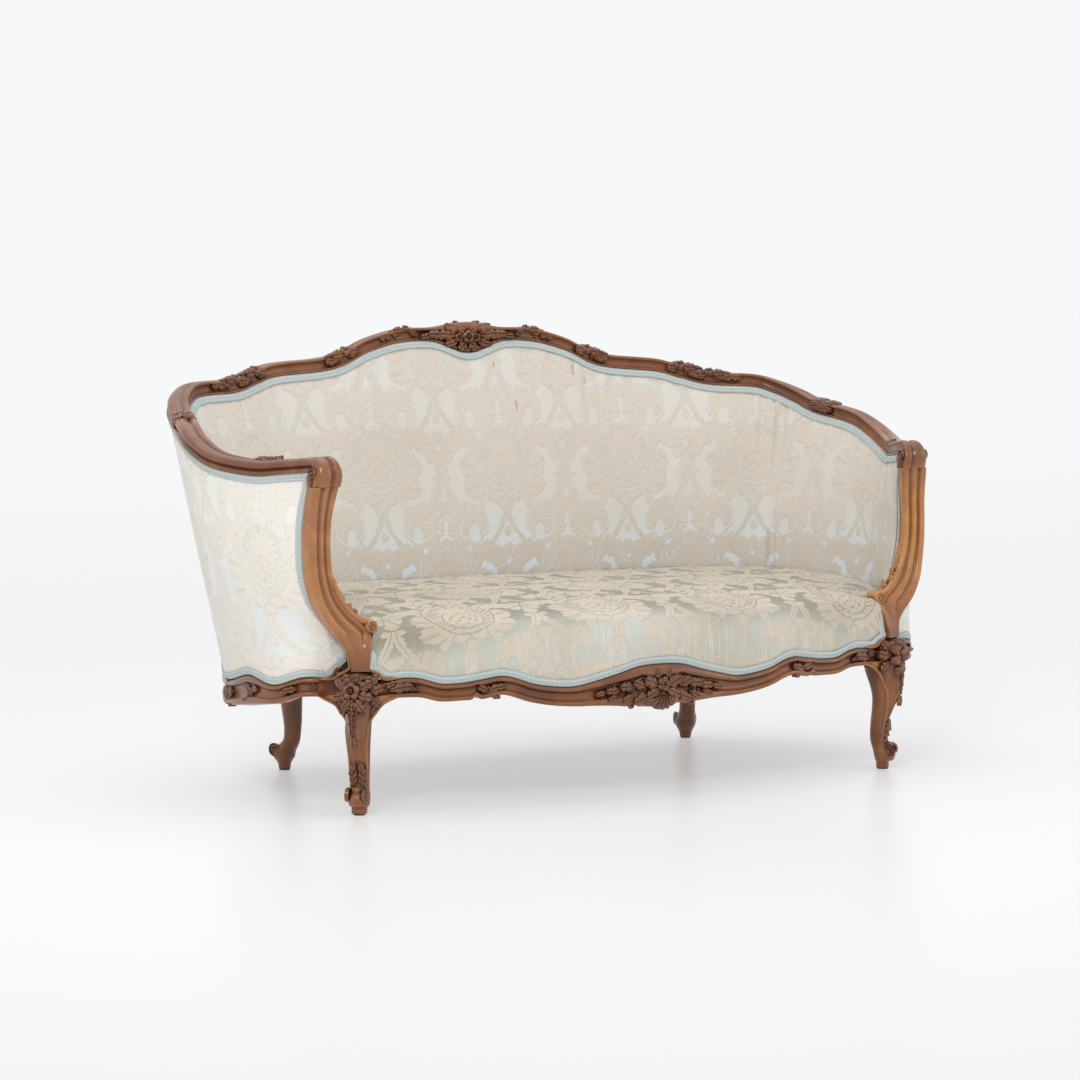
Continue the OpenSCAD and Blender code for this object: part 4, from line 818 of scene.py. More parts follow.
def round_rows(profile, sides=36, steps=12):
    """A round relief: its height and reach are a formula of the way out and the angle."""
    rows = []
    for i in range(steps + 1):
        ring = []
        for k in range(sides):
            a = 2 * math.pi * k / sides
            r, z = profile(max(i / steps, .01), a)
            ring.append(Vector((r * math.cos(a), r * math.sin(a), z)))
        rows.append(ring)
    return rows + [[Vector((v.x * .9, v.y * .9, -.35)) for v in rows[-1]]]


def petals(count):
    def profile(t, a):
        petal = abs(math.cos(count * a / 2)) ** SHARP
        if t < .26:
            return t, .52 + .12 * math.cos(t / .26 * math.pi / 2) - .05 * math.cos(a * 6)
        out = (t - .26) / .74
        return t * (.70 + .30 * petal), .20 + .34 * math.sin(math.pi * out) * (.35 + .65 * petal) + .06 * out
    return profile


def fan_rows(ribs=7, steps=18):
    rows = []
    for i in range(steps + 1):
        t = .06 + .94 * i / steps
        top = []
        for j in range(6 * ribs + 1):
            q = -1 + j / (3 * ribs)
            rib = abs(math.cos(ribs * math.pi * (q + 1) / 2 + math.pi / 2)) ** .8
            r = t * (.86 + .14 * rib)
            top.append(Vector((r * math.cos(q * 1.25), r * math.sin(q * 1.25),
                               .08 + .26 * math.sin(math.pi * t ** .8) * (.45 + .55 * rib))))
        rows.append(top + [Vector((v.x, v.y, -.25)) for v in reversed(top[1:-1])])
    return rows


def scroll_rows(steps=60, sides=10):
    rows = []
    for i in range(steps + 1):
        t = i / steps
        a, r, thick = 5.6 * t, .46 * (1 - .82 * t), .15 * (1 - .45 * t)
        centre = Vector((.5 + r * math.cos(a), r * math.sin(a), .06))
        out = Vector((math.cos(a), math.sin(a), 0))
        rows.append([centre + out * (thick * math.cos(b)) + Vector((0, 0, thick * 1.3 * math.sin(b)))
                     for b in (2 * math.pi * k / sides for k in range(sides))])
    return rows


LEAF = motif("leaf", leaf_rows(2.5, .16, .16, .40, .26))
FROND = motif("frond", leaf_rows(3, .42, .12, .26, .2))
BELL = motif("bell", leaf_rows(1.5, 0, .05, .36, .34))
FLOWER = motif("flower", round_rows(petals(5)))
BERRY = motif("berry", round_rows(lambda t, a: (t, .85 * math.sqrt(1 - min(t, .999) ** 2)), 20, 8))
DISC = motif("volute", round_rows(lambda t, a: (t, .34 if t < .2 else .22 + .15 * math.cos(a - t * 13)), 48, 26))
SHELL = motif("shell", fan_rows())
SCROLL = motif("scroll", scroll_rows())

# %% [markdown]
# A copy of a motif is placed by its spot on the wood, the way it points, the way it faces, and its length, width and
# height. The copies of one place are joined to one carved piece, as the carver leaves them in one block of wood.


# %% Laying the carving
def carve(name, items, mirrored=True, material=walnut_deep):
    """Lays copies of the motifs on the wood; each item is motif, place, direction, outward, length, width, height."""
    for side in ((1, -1) if mirrored else (1,)):
        bm = bmesh.new()
        for source, place, ahead, up, length, wide, high in items:
            up = up.normalized()
            x = (ahead - up * ahead.dot(up)).normalized()
            y = up.cross(x)
            at = to_frame(place)
            spot = Matrix([(x[k] * length, y[k] * wide, up[k] * high, at[k]) for k in range(3)] + [(0, 0, 0, 1)])
            if side < 0:
                spot = Matrix.Diagonal((-1, 1, 1, 1)) @ spot
            part = source.copy()
            part.transform(spot)
            if spot.determinant() < 0:
                part.flip_normals()
            bm.from_mesh(part)
            bpy.data.meshes.remove(part)
        mesh = bpy.data.meshes.new(name)
        bm.to_mesh(mesh)
        bm.free()
        mesh.materials.append(material)
        label = ("_right" if side > 0 else "_left") if mirrored else ""
        piece = bpy.data.objects.new(name + label, mesh)
        bpy.context.collection.objects.link(piece)
        finish(piece, 55)


def on_rail(u, across, down):
    """A spot on the top rail's section, and the way along the rail there."""
    out, lift = outward(top_rows, u), CREST_RISE * crest_at(u)
    face = RAIL_T + CREST_DROP * crest_at(u) + lift
    way = (top_at(u + .03) - top_at(u - .03)).normalized()
    return top_at(u) + out * (across * RAIL_W) + Vector((0, 0, lift + down * face)), way, out


def turned(way, degrees, flip=1):
    """The way along a rail, turned up by an angle, or its mirror image."""
    a = math.radians(degrees)
    return way * (flip * math.cos(a)) + UP * math.sin(a)


UP = Vector((0, 0, 1))
print("carving is set", round(FEET_Y, 4), "m back from the pattern's origin")

# %% [markdown]
# ## Crest, rail flowers and corner leaves
# The crest is a bunch of flowers between leaves, under a crown of leaves that rises over the rail. Four smaller
# flowers with trailing leaves sit on each half of the rail, and leaves wrap the joint where an arm begins.

# %% Crest
crest = []
front_y = TOP_Y - RAIL_W * .44


def crest_item(source, x, z, degrees, length, wide, high, lean=.12, ahead_out=0.0):
    a = math.radians(degrees)
    for side in (1, -1):
        crest.append((source, Vector((side * x, front_y - ahead_out, RAIL_TOP + z)),
                      Vector((side * math.cos(a), 0, math.sin(a))), Vector((0, -1, lean)), length, side * wide, high))


for x, z, degrees, length, wide in ((.004, -.030, -58, .030, .036), (.030, -.015, -4, .046, .040),
                                    (.026, -.030, -24, .036, .034), (.064, -.013, -8, .040, .034),
                                    (.058, -.021, 6, .026, .026), (.094, -.016, -14, .030, .024)):
    crest_item(LEAF, x, z, degrees, length, wide, .040)
for x, z, degrees, length in ((.002, -.004, 24, .036), (.024, -.002, -2, .036), (.010, -.012, 64, .020)):
    crest_item(LEAF, x, z, degrees, length, .042, .044, .9)
crest_item(SCROLL, .046, -.006, 20, .022, -.022, .020, ahead_out=.001)
for x, z, size in ((.022, -.021, .0125), (.012, -.038, .0105), (.034, -.030, .0085), (.080, -.015, .0065)):
    crest_item(FLOWER, x, z, 30, size, size, size, ahead_out=.004)
for x, z, size in ((.013, -.008, .006), (.044, -.026, .005), (.023, -.044, .0055), (.060, -.012, .0045)):
    crest_item(BERRY, x, z, 30, size, size, size, ahead_out=.004)
crest.append((FLOWER, Vector((0, front_y - .006, RAIL_TOP - .020)), UP, Vector((0, -1, .15)), .0165, .0165, .018))
carve("crest_carving", crest, False)

# %% Flowers and corner leaves of the top rail
items = []
for u, size in ((1.02, .8), (2.9, 1.15), (5.9, 1.15), (6.95, 1)):
    spot, way, out = on_rail(u, -.40, -.02)
    items.append((FLOWER, spot, way, UP - out * .7, .0125 * size, .0125 * size, .012 * size))
    for du, across, down, direction, length in ((.06, -.40, -.10, 1, .030), (.12, -.36, -.42, 1, .040),
                                                (.32, -.36, -.52, 1, .030), (-.04, -.38, -.22, -1, .026),
                                                (-.10, -.36, -.50, -1, .022), (.50, -.37, -.40, 1, .022)):
        spot, way, out = on_rail(u + du, across, down)
        items.append((LEAF, spot, way * direction + UP * (.25 if down < -.4 else 0), UP * .15 - out,
                      length * size, .030 * size, .030 * size))
    for du, down in ((.10, -.30), (.22, -.60), (-.12, -.34)):
        spot, way, out = on_rail(u + du, -.37, down)
        items.append((BERRY, spot - out * .001, way, -out, .0035, .0035, .0035))
for across, down, normal in ((-.44, -.45, -1), (-.40, -.12, -.6), (-.05, -.04, 0), (.25, -.06, .3), (.44, -.40, 1)):
    for u, direction, length in ((ARM_JOINT - .02, -1, .046), (ARM_JOINT - .30, -1, .036)):
        spot, way, out = on_rail(u, across, down)
        items.append((LEAF, spot, way * direction, out * normal + UP * (1 - abs(normal) * .8), length, .030, .034))
spot, way, out = on_rail(ARM_JOINT - .1, -.15, 0)
items.append((FLOWER, spot, way, UP, .012, .012, .013))
carve("top_rail_carving", items)

# %% Carving of the arm rails
items = []
for du, across, direction, length, kind in ((0, -.30, 1, .030, LEAF), (-.02, -.30, -1, .034, LEAF),
                                            (-.10, -.20, -1, .040, FROND), (.06, -.36, 1, .024, FROND)):
    spot, way, out = on_rail(15.35 + du, across, -.01)
    items.append((kind, spot, way * direction, UP - out * .3, length, .030, .032))
spot, way, out = on_rail(15.35, -.32, .0)
items.append((FLOWER, spot, way, UP - out * .3, .010, .010, .012))
p = post_rows[0]
out, back = post_axes(p[4])
for side in (1, -1):
    items.append((DISC, Vector((p[0], p[1], ARM_H - POST_D * .80)) + back * (POST_D * .36) + out * (side * p[3] * .47),
                  back, out * side, .0115, .0115, .012))
carve("arm_rail_carving", items)

# %% [markdown]
# ## Arm supports
# Each support is a C-scroll that leans out over the leg, narrow at its waist and wide where it curls in over the seat.
# Its face is fluted: two round ribs with a hollow between them.

# %% Arm supports
POST_SECTION = smooth_ring([
    (-.50, .34), (-.50, .18), (-.46, .06), (-.37, 0), (-.28, .03), (-.22, .11), (-.18, .16), (-.13, .10),
    (-.06, .01), (.06, .01), (.13, .10), (.18, .16), (.22, .11), (.28, .03), (.37, 0), (.46, .06), (.50, .18),
    (.50, .34), (.47, .70), (.44, 1), (.15, 1), (-.15, 1), (-.44, 1), (-.47, .70)], 3)
FLUTE_START, FLUTE_RUN, FLUTE_DEEP = .012, .075, .3


def post_ring(p):
    """The section at one row of the path; the flutes run out towards the neck."""
    out, back = post_axes(p[4])
    z = max(p[2], LEG_H + GAP)
    cut = ease((z - LEG_H - FLUTE_START) / FLUTE_RUN)
    return [Vector((p[0], p[1], z)) + out * (q[0] * p[3])
            + back * (POST_D * (q[1] if q[1] > FLUTE_DEEP else q[1] * cut)) for q in POST_SECTION]


both_sides("walnut_arm_support", [post_ring(p) for p in post_fine], walnut_warm, "arm_support")

# %% [markdown]
# ## Seat rails
# The seat rails are scalloped along both edges and moulded: a heavy roll below, a hollow, and a bead above that
# carries the braid.

# %% Seat rails
SEAT_SECTION = smooth_ring([
    (0, 0), (.40, 0), (.78, .005), (.90, .02), (.98, .07), (1, .15), (.98, .22), (.90, .28), (.84, .34), (.80, .42),
    (.79, .52), (.82, .62), (.86, .67), (.84, .70), (.90, .73), (.97, .77), (1, .83), (.99, .89), (.95, .95),
    (.88, .99), (.80, 1), (.40, 1), (0, 1), (0, .5)], 3)


def seat_rail_ring(u, section):
    p = seat_at(u)
    out = blend(outward(seat_rows, u), Vector((1, 0, 0)), bump(LAST - u, 1)).normalized()
    return [Vector((p[0], p[1], blend(p[3], p[2], q[1]))) + out * ((q[0] - .5) * SEAT_RAIL_W) for q in section]


def further(u, distance, high):
    """The station that lies a distance further along the seat's path."""
    start, low = seat_at(u), u
    for _ in range(12):
        mid = (low + high) / 2
        low, high = (mid, high) if (seat_at(mid).xy - start.xy).length < distance else (low, mid)
    return low


# %% Side and back seat rails
PLAIN_SECTION = [Vector(q) for q in ((0, 0), (.92, 0), (.97, .02), (1, .06), (1, .94), (.97, .98), (.92, 1), (0, 1))]
reach = BLOCK * .88 + .001
both_sides("walnut_side_rail",
           [seat_rail_ring(u, SEAT_SECTION) for u in span(further(LEG_STATION, reach, LAST), LAST, .07)], walnut,
           "side_seat_rail")
stop = further(LEG_STATION, reach, 0)
back_rail = finish(grid_mesh("walnut_back_rail", [seat_rail_ring(u, PLAIN_SECTION) for u in span(-stop, stop, .1)],
                             material=walnut))
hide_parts("back_seat_rail")


# %% Front seat rail
NOTCHES = ((.050, .018, .014), (.415, .012, .008))  # place, half width and depth of the notches in the lower edge


def front_ring(u):
    p, out, grow = front_at(u), front_out(u), bump(front_at(u)[0], SHELL_HALF)
    low = p[3] + sum(deep * bump(abs(p[0]) - x, half) for x, half, deep in NOTCHES)
    return [Vector((p[0], p[1], blend(low, p[2], q[1]))) + out * (
        (q[0] - 1) * SEAT_RAIL_W + (grow * SHELL_PROUD * min(1, 2 * math.sin(math.pi * q[1])) if q[0] > .5 else 0))
            for q in SEAT_SECTION]


front = finish(grid_mesh("walnut_front_rail", [front_ring(u) for u in span(-FRONT_LAST, FRONT_LAST, .07)],
                         material=walnut), 50)
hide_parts("front_seat_rail")

# %% [markdown]
# ## Stuffed back and arms
# One length of damask is drawn over the stuffing and tacked under the top rail. The silk pulls into small puckers
# along that edge, deeper in the tight corners. The form is a sheet of points on the wall, pushed out by the depth of
# the stuffing, so it keeps clear of the frame.


# %% Form of the stuffing
PAD_FACE = [(0, .30), (.06, .80), (.14, .93), (.24, 1), (.443, 1.02), (.714, .92), (.85, .74), (.95, .5), (1, .28)]
CANVAS = -(FRAME_T / 2 + .0016 + .0005)


def lookup(table, h):
    for (a, fa), (b, fb) in zip(table, table[1:]):
        if h <= b:
            return blend(fa, fb, (h - a) / (b - a))
    return table[-1][1]


PAD_BASE = SEAT_EDGE - GAP - .036


def pad_depth(u):
    return PAD_T * blend(.45, 1, math.sin(math.pi / 2 * min((LAST - abs(u)) / 1.5, 1)))


def pucker(u, h):
    """Small pulls that fan down from the tacked edge."""
    s = u * 11 + 3 * noise.noise(Vector((u * 2, 0, 3)))
    pull = math.sin(s) * (.6 + .8 * noise.noise(Vector((u * 5, h * 2, 9))))
    tight = .5 + 2.2 * bump(abs(u) - 9.3, 1.6) + .7 * bump(abs(u) - 1.5, 2)
    return .0024 * tight * pull * (ease((h - .55) / .35) * ease((1.0 - h) / .05) + .5 * ease((.45 - h) / .2))


def inside_point(u, h):
    low, high = PAD_BASE, rail_under(u) - GAP
    z = blend(low, high, h)
    full = lookup(PAD_FACE, h)
    soft = .0016 * noise.noise(Vector((u * .8, h * 3, 0))) * bump(h - .5, .5)
    return wall_at(u, z, CANVAS - pad_depth(u) * full - pucker(u, h) - soft)


print("stuffing stands", round((inside_point(0, .5) - wall_at(0, inside_point(0, .5).z, 0)).length, 4), "m proud")


# %% Inside cover
def wall_uv(obj, stations, heights, point):
    """Writes a UV map in metres: the way round the sofa from its middle, and the height."""
    mesh = obj.data
    uv = mesh.uv_layers["metres"]
    way = [0.0]
    for a, b in zip(stations, stations[1:]):
        way.append(way[-1] + (wall_at(b, .6, -.04).xy - wall_at(a, .6, -.04).xy).length)
    middle = way[-1] / 2
    n = len(heights)
    for loop in mesh.loops:
        i, j = divmod(loop.vertex_index, n)
        if i < len(way):
            uv.data[loop.index].uv = (way[i] - middle, point(stations[i], heights[j])[2])


stations = span(-LAST + .002, LAST - .002, .09)
heights = [i / 44 for i in range(45)]
inside = grid_mesh("damask_inside_cover", [[inside_point(u, h) for h in heights] for u in stations], closed=False,
                   caps=False, material=damask_inside)
wall_uv(inside, stations, heights, inside_point)
if inside.data.polygons[len(inside.data.polygons) // 2].normal.y > 0:
    inside.data.flip_normals()
thick = inside.modifiers.new("stuffing", "SOLIDIFY")
thick.thickness, thick.offset = .004, -1
bpy.context.view_layer.objects.active = inside
bpy.ops.object.modifier_apply(modifier="stuffing")
finish(inside, 60)
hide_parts("inside_back_pad", "inside_arm_pad_left", "inside_arm_pad_right")

# %% [markdown]
# ## Outside covers
# Three panels close the outside: one across the back and one round each arm, tacked between the rails over a thin
# wadding. Each is a closed skin, a little fuller in the middle of its height.

# %% Outside covers
COVER_OUT = RAIL_W / 2 - COVER_SET
LEVELS, FACE_ROW = 24, 36  # levels in the height of a panel, and the row on its face that measures its length


def cover_rows(low, high, step):
    rows = []
    for u in span(low, high, step):
        a, b = seat_at(u)[2] + GAP * 3, rail_under(u) - GAP * 2
        levels = [blend(a, b, i / LEVELS) for i in range(LEVELS + 1)]
        rows.append([wall_at(u, z, COVER_OUT - .0025) for z in levels[::-1]] + [
            wall_at(u, z, COVER_OUT + .0012 * math.sin(math.pi * i / LEVELS)) for i, z in enumerate(levels)])
    return rows


def cover_uv(obj, rows):
    mesh, n = obj.data, len(rows[0])
    way = [0.0]
    for a, b in zip(rows, rows[1:]):
        way.append(way[-1] + (b[FACE_ROW].xy - a[FACE_ROW].xy).length)
    uv = mesh.uv_layers["metres"]
    for loop in mesh.loops:
        i, j = divmod(loop.vertex_index, n)
        if i < len(way):
            uv.data[loop.index].uv = (way[i], rows[i][j][2])


for name, low, high in (("back", -LEG_STATION, LEG_STATION), ("arm_right", LEG_STATION + .004, LAST - .002),
                        ("arm_left", -LAST + .002, -LEG_STATION - .004)):
    rows = cover_rows(low, high, .12)
    cover = grid_mesh(f"damask_outside_{name}", rows, material=damask_outside)
    cover_uv(cover, rows)
    finish(cover, 60)
    node = "outside_back_cover" if name == "back" else "outside_arm_cover_" + name[4:]
    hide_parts(node)

# %% [markdown]
# ## Seat
# The seat is a tight sprung seat: the damask goes over a roll at the front edge, rises to a soft crown and tucks in
# under the back. It is modelled as rings from the rail up over the roll to the crown. Each ring follows the front
# rail, sweeps up the neck of the arm support, and returns along the foot of the arms and the back.

# %% Edges of the seat cover
ROLL_R = SEAT_CROWN * .6
SEAT_MIDDLE = Vector((0, LEG_DEPTH * .46, 0))
# how far the edge roll has leaned in at each share of its height
ROLL = [(0, 0), (0, .25), (0, .5), (.03, .68), (.12, .82), (.3, .93), (.6, .985), (1, 1)]


def front_point(u, inset):
    p = front_at(u)
    return Vector((p[0], p[1], p[2])) - front_out(u) * (.008 + inset)


def front_profile(u):
    p = front_point(u, 0)
    out = []
    for r, h in ROLL:
        q = front_point(u, ROLL_R * r)
        bulge = .004 * math.sin(math.pi * min(h / .8, 1))
        out.append(Vector((q[0], q[1], blend(p[2] + .0006, SEAT_EDGE, h))) + front_out(u) * bulge)
    return out


def rim_height(u):
    return blend(SEAT_H - SEAT_CROWN * .09, SEAT_EDGE, bump(LAST - abs(u), 7))


def side_profile(u):
    rim = rim_height(u)
    s = seat_at(u)[2]

    def face(z):
        h = (z - PAD_BASE) / (rail_under(u) - PAD_BASE)
        return wall_at(u, z, CANVAS - pad_depth(u) * lookup(PAD_FACE, max(h, 0)) - .0015)

    low = face(PAD_BASE + .02)
    out = [Vector((low[0], low[1], blend(s + .004, PAD_BASE + .01, t))) for t in (0, .35, .7)]
    out += [face(blend(PAD_BASE + .02, rim - .006, t)) for t in (0, .33, .66, 1)]
    full = lookup(PAD_FACE, (rim - PAD_BASE) / (rail_under(u) - PAD_BASE))
    return out + [wall_at(u, rim, CANVAS - pad_depth(u) * full - .006)]


def corner_profile(side):
    near = BLOCK + .0006
    p = Vector((side * (LEG_X - near), near, SEAT_TOP[-1] * LEG_H))
    return [Vector((p[0] - side * r * GIMP_W, p[1] + r * GIMP_W, blend(p[2], SEAT_EDGE, h))) for r, h in ROLL]


print("the roll is", round(SEAT_EDGE - front_at(0)[2], 3), "m high in the middle of the front")

# %% Seat cover
# the cloth and its braid sweep up the neck of the arm support and end under its scroll
seat_stop = FRONT_LAST - 1
CORNER_EDGE = [front_point(seat_stop, 0) + Vector((0, 0, .0008)),
               Vector((LEG_X - BLOCK * 1.42, -.0245, SEAT_TOP[-1] * LEG_H + .0012)),
               Vector((LEG_X - BLOCK * 1.06, -.0240, LEG_H - .0105))]
for z in (.3, .314, .329, .343, .355):
    p = post_at(z)
    CORNER_EDGE.append(Vector((p[0] - p[3] / 2 - .0035, blend(-.0235, -.016, (z - .3) / .055), z)))


def end_profile(k, side):
    """The cloth rises from its curved edge and leans in under the scroll."""
    low, share = CORNER_EDGE[k], k / (len(CORNER_EDGE) - 1)
    top = blend(front_point(seat_stop, ROLL_R), Vector((.600, .014, 0)), share)
    return [Vector((side * blend(low.x, top[0], max(r, .8 * h * h * share)),
                    blend(low.y, top[1], max(r, .5 * h * share)), blend(low.z, SEAT_EDGE, h))) for r, h in ROLL]


loop = [front_profile(u) for u in span(-seat_stop, seat_stop, .2)]
loop += [end_profile(k, 1) for k in range(1, len(CORNER_EDGE))] + [corner_profile(1)]
loop += [side_profile(-u) for u in span(-LAST + .5, LAST - .5, .15)]
loop += [corner_profile(-1)] + [end_profile(k, -1) for k in range(len(CORNER_EDGE) - 1, 0, -1)]
rings = [[p[k] for p in loop] for k in range(len(ROLL))]
rim = rings[-1]
# from the rim to the crown: the share of the way out from the middle, and how much of the crown's rise is reached
for s, rise in ((.97, .17), (.93, .34), (.86, .52), (.76, .68), (.64, .8), (.5, .9), (.36, .96), (.22, .99), (.1, 1)):
    ring = []
    for q in rim:
        m = blend(SEAT_MIDDLE.xy, q.xy, s)
        ring.append(Vector((m.x, m.y, blend(q[2], SEAT_H, rise) + .0025 * noise.noise(Vector((m.x * 4, m.y * 4, 1))))))
    rings.append(ring)
seat = grid_mesh("damask_seat_cover", rings, material=damask_seat)
uv = seat.data.uv_layers["metres"]
for item in seat.data.loops:
    v = seat.data.vertices[item.vertex_index].co
    drop = (SEAT_EDGE - v.z) if v.y < -.2 and abs(v.x) < .62 else 0
    uv.data[item.index].uv = (v.x, v.y - max(drop, 0))
finish(seat, 60)
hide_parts("seat_pad")


# %% [markdown]
# ## Braid strips
# The braid is glued over the edge of the damask: inside and outside under the top rail, over the seat rails, and down
# both sides of the arm supports.

# %% Braid along the rails
GLUE, FOOT_GAP, BOTTOM_END = .0008, .0012, 16.7  # the braid stands off the cloth, and starts just over the seat rail


def strip(name, pairs, out_of, node):
    """A thin strip: pairs of edge points, thickened away from the cloth."""
    rows = []
    for (a, b), n in zip(pairs, out_of):
        t = n * GIMP_T
        cross = [a.lerp(b, k / 4) + t * (.35 + .65 * math.sin(math.pi * k / 4)) for k in range(5)]
        rows.append(cross + [b, a])
    piece = finish(grid_mesh(name, rows, material=braid), 60)
    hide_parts(node)


def wall_strip(name, node, z_of, outs, direction, low=-NOSE, high=NOSE):
    pairs, normals = [], []
    for u in span(low, high, .1):
        z = z_of(u)
        a, b = wall_at(u, z, outs(u, z)), wall_at(u, z - GIMP_W, outs(u, z - GIMP_W))
        pairs.append((a, b))
        normals.append((wall_at(u, z, outs(u, z) + direction) - wall_at(u, z, outs(u, z))).normalized())
    strip(name, pairs, normals, node)


def pad_face(u, z):
    h = (z - PAD_BASE) / (rail_under(u) - PAD_BASE)
    return CANVAS - pad_depth(u) * lookup(PAD_FACE, max(min(h, 1), 0))


def cover_face(u, z):
    return COVER_OUT + GLUE


wall_strip("braid_inside", "gimp_inside", lambda u: rail_under(u) - .0006,
           lambda u, z: pad_face(u, z) - .0022, -.01)
wall_strip("braid_outside_top", "gimp_outside_top", lambda u: rail_under(u) - .0008, cover_face, .01)
wall_strip("braid_outside_bottom", "gimp_outside_bottom", lambda u: seat_at(u)[2] + FOOT_GAP + GIMP_W, cover_face,
           .01, -BOTTOM_END, BOTTOM_END)

# %% [markdown]
# Down the supports the braid's edges are given as station and height on the wall. Outside, it turns the lower corner
# in a small arc, and a fillet of walnut fills the corner outside that arc.


# %% Braid down the supports
def post_strip(name, node, lines, outs, direction, mirror):
    """Each line gives the edge away from the wood and the edge at the wood, as station and height."""
    pairs, normals = [], []
    for line in lines:
        ends = [wall_at(u, z, outs(u, z)) for u, z in line]
        u, z = line[1]
        n = wall_at(u, z, outs(u, z) + direction) - wall_at(u, z, outs(u, z))
        if mirror:
            ends = [Vector((-p.x, p.y, p.z)) for p in ends]
            n.x = -n.x
        pairs.append(tuple(ends))
        normals.append(n.normalized())
    strip(name, pairs, normals, node)


END, BEND = LAST - .002, .022
foot_z = seat_at(LAST)[2] + FOOT_GAP
per_metre = 1 / (wall_at(LAST, foot_z, 0) - wall_at(16, foot_z, 0)).length
bend_u = END - BEND * per_metre
corner = [[(bend_u + r * per_metre * math.sin(a), foot_z + BEND - r * math.cos(a)) for r in (BEND, BEND - GIMP_W)]
          for a in (math.pi / 2 * i / 8 for i in range(9))]
for side in ("right", "left"):
    mirror, top = side == "left", rail_under(LAST) - .001
    post_strip(f"braid_post_inside_{side}", f"gimp_post_inside_{side}",
               [((END, z), (NOSE, z)) for z in span(.372, top, .006)],
               lambda u, z: pad_face(u, z) - .0006, -.01, mirror)
    post_strip(f"braid_post_outside_{side}", f"gimp_post_outside_{side}",
               corner + [((END, z), (NOSE, z)) for z in span(foot_z + BEND + .004, top, .006)], cover_face, .01,
               mirror)
fillet = []
for (u, z), _ in corner:
    edge = (u, foot_z - .003) if z - foot_z < END - u else (LAST + .03, z)
    fillet.append([wall_at(*q, out) for q, out in (((u, z), COVER_OUT + .0045), (edge, COVER_OUT + .004),
                                                   (edge, COVER_OUT - .006), ((u, z), COVER_OUT - .006))])
both_sides("walnut_corner_fillet", fillet, walnut)

# %% Braid along the front of the seat
pairs, normals = [], []
for u in span(-seat_stop, seat_stop, .12):
    p, o = front_point(u, 0) + Vector((0, 0, .0008)), front_out(u)
    pairs.append((p + o * .0035 + Vector((0, 0, GIMP_W)), p + o * .0015))
    normals.append(o)
ends = []
for u in span(.12, len(CORNER_EDGE) - 1, .12):
    p = along(CORNER_EDGE, u)
    way = (along(CORNER_EDGE, u + .05) - along(CORNER_EDGE, u - .05)).normalized()
    o = Vector((-.25 * u / 7, -1, 0)).normalized()
    ends.append((p, p + way.cross(o).normalized() * -GIMP_W, o))
for p, q, o in ends:
    pairs.append((q + o * .0035, p + o * .0015))
    normals.append(o)
flip = Vector((-1, 1, 1))
for p, q, o in ends:
    pairs.insert(0, ((q + o * .0035) * flip, (p + o * .0015) * flip))
    normals.insert(0, o * flip)
strip("braid_seat_front", pairs, normals, "gimp_seat_front")

# %% [markdown]
# ## Legs
# The front legs are cabriole legs: a carved knee, a slim ankle and a scrolled foot. The rear legs run up inside the
# back. Their levels come from one table each, and every level is a ring, because a leg swells forward and narrows
# sideways at once, which no single turned or swept profile does.

# %% Front legs
# height, reach of the knee, reach inward, width, and how square the front is
LEG = [(1, .63, .27, 1, 1.8), (.975, .93, .66, 1.5, 1.5), (.956, 1, .98, 2.0, 1.4), (.88, 1.03, 1, 1.96, 1.4),
       (.81, 1.04, 1, 1.84, 1.5), (.75, 1.04, .94, 1.56, 1.6), (.69, 1.02, .82, 1.38, 1.7), (.63, 1, .68, 1.30, 1.8),
       (.565, .94, .57, 1.24, 1.9), (.50, .74, .54, 1.17, 2), (.434, .54, .56, 1.12, 2), (.34, .27, .62, 1.07, 2),
       (.245, .16, .64, 1.03, 2), (.190, .22, .60, 1.03, 2), (.155, .49, .53, 1.07, 2), (.115, .71, .46, 1.15, 2),
       (.060, .61, .38, 1.08, 2), (.045, .36, .33, .86, 2), (.02, .35, .31, .80, 2.6), (0, .33, .30, .76, 3)]
KNEE, ANKLE, GLIDE = .041, .040, .0033


def power(v, e):
    return math.copysign(abs(v) ** e, v)


def leg_ring(p, foot, heading, sides=72):
    a = math.radians(heading)
    forward, across = Vector((math.cos(a), math.sin(a), 0)), Vector((-math.sin(a), math.cos(a), 0))
    knee, inner = KNEE * p[1], BLOCK * math.sqrt(2) * p[2]
    half = min(p[3] * ANKLE / 2, BLOCK * math.sqrt(2))
    out = []
    for k in range(sides):
        t = 2 * math.pi * k / sides
        c, s = math.cos(t), math.sin(t)
        e = 2 / p[4] if c > 0 else (2 if p[3] > 1.7 else 2 / p[4])
        turn = abs(math.atan2(s, c))
        cut = 1 - bump(p[0] - .42, .36) * (.10 * bump(turn - .62, .22) + .05 * bump(turn - 1.35, .2))
        out.append(foot + forward * (power(c, e) * (knee if c > 0 else inner) * cut)
                   + across * (power(s, e) * half * cut) + Vector((0, 0, blend(GLIDE, LEG_H, p[0]))))
    return out


leg_rows = [Vector(p) for p in LEG]
both_sides("walnut_front_leg", [leg_ring(along(leg_rows, u), Vector((LEG_X, 0, 0)), -45)
                                for u in span(0, len(LEG) - 1, .25)], walnut, "front_leg")


# %% Rear legs
# height, shift along the splay, depth and width
REAR_LEG = [(.740, -1, 1.35, 1.35), (.687, -1, 1.30, 1.28), (.588, -1, 1.25, 1.20), (.420, -1.16, 1.08, 1),
            (.336, -1.15, .98, .95), (.252, -1, .98, .95), (.198, -.45, 1.25, 1.10), (.153, .05, 1.42, 1.25),
            (.099, .05, 1.25, 1.15), (.050, 0, .76, .80), (0, 0, .66, .66)]


